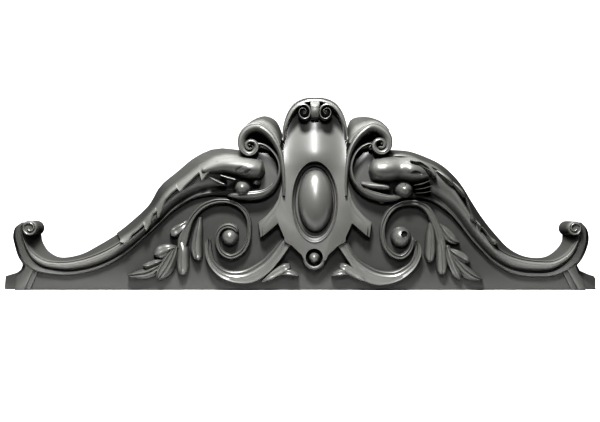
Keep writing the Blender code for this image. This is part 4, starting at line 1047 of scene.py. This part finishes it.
studio = {
    "floorGrey": 0.62, "floorReach": 0.52, "floorFront": -0.1, "floorBack": 0.06,
    "worldWhite": 1.0, "worldFill": 0.02,
    "keyPlace": (-0.1, -0.85, 1.2), "keyPower": 50.0, "keySize": 0.26,
    "facePlace": (0.0, -1.3, 0.66), "facePower": 8.6, "faceSize": 0.18,
    "topPlace": (-0.14, 0.22, 0.95), "topPower": 38.0, "topSize": 0.8,
    "aim": (0.0, 0.0, 0.12), "floorDrop": 0.0005, "floorRoughness": 0.9,
}


def addFloor():
    # a short pale strip under the crest
    mesh = bpy.data.meshes.new("floor")
    reach, front, back = studio["floorReach"], studio["floorFront"], studio["floorBack"]
    corners = [(-reach, front, 0), (reach, front, 0), (reach, back, 0), (-reach, back, 0)]
    mesh.from_pydata(corners, [], [(0, 1, 2, 3)])
    floor = addObject("floor", mesh)
    floor.location.z = float(cadBox[0][2]) - studio["floorDrop"]
    material = bpy.data.materials.new("paleFloor")
    material.use_nodes = True
    shader = material.node_tree.nodes["Principled BSDF"]
    shader.inputs["Base Color"].default_value = (studio["floorGrey"],) * 3 + (1.0,)
    shader.inputs["Roughness"].default_value = studio["floorRoughness"]
    shader.inputs["Specular IOR Level"].default_value = 0.0
    mesh.materials.append(material)


def addLamp(name, gloss=True):
    # a square lamp that points at the crest
    lamp = bpy.data.lights.new(name, "AREA")
    lamp.energy = studio[name + "Power"]
    lamp.size = studio[name + "Size"]
    body = addObject(name, lamp)
    body.location = studio[name + "Place"]
    body.visible_glossy = gloss
    aim = np.array(studio["aim"]) - np.array(studio[name + "Place"])
    length = np.linalg.norm(aim)
    body.rotation_euler = (math.acos(-aim[2] / length), 0.0, math.atan2(-aim[0], aim[1]))


def lightStudio():
    # three lamps, and a world that is white to the camera and dim to the crest
    addLamp("key")
    addLamp("face")
    addLamp("top", gloss=False)
    world = bpy.data.worlds.new("studio")
    world.use_nodes = True
    tree = world.node_tree
    white = (1.0, 1.0, 1.0, 1.0)
    seen = tree.nodes["Background"]
    seen.inputs["Color"].default_value = white
    seen.inputs["Strength"].default_value = studio["worldWhite"]
    fill = addNode(tree, "Background", {"Color": white, "Strength": studio["worldFill"]}, {})
    path = addNode(tree, "LightPath", {}, {})
    mix = addNode(tree, "MixShader", {}, {"Fac": path.outputs["Is Camera Ray"], 1: fill.outputs["Background"],
                                          2: seen.outputs["Background"]})
    tree.links.new(mix.outputs["Shader"], tree.nodes["World Output"].inputs["Surface"])
    bpy.context.scene.world = world
    bpy.context.scene.view_settings.view_transform = "Standard"
    bpy.context.scene.view_settings.look = "Very High Contrast"


eye = {"lens": 57.4, "sensor": 36.0}


def addCamera():
    camera = bpy.data.cameras.new("eye")
    camera.lens = eye["lens"]
    camera.sensor_width = eye["sensor"]
    body = addObject("eye", camera)
    body.location = (0.0, backY - sheet["eyeDistance"], sheet["eyeHeight"])
    body.rotation_euler = (math.pi / 2, 0.0, 0.0)
    bpy.context.scene.camera = body


addCamera()
makeCrest()
addFloor()
lightStudio()
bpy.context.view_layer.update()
print("scene ready", round(time.time() - started, 1), "s")
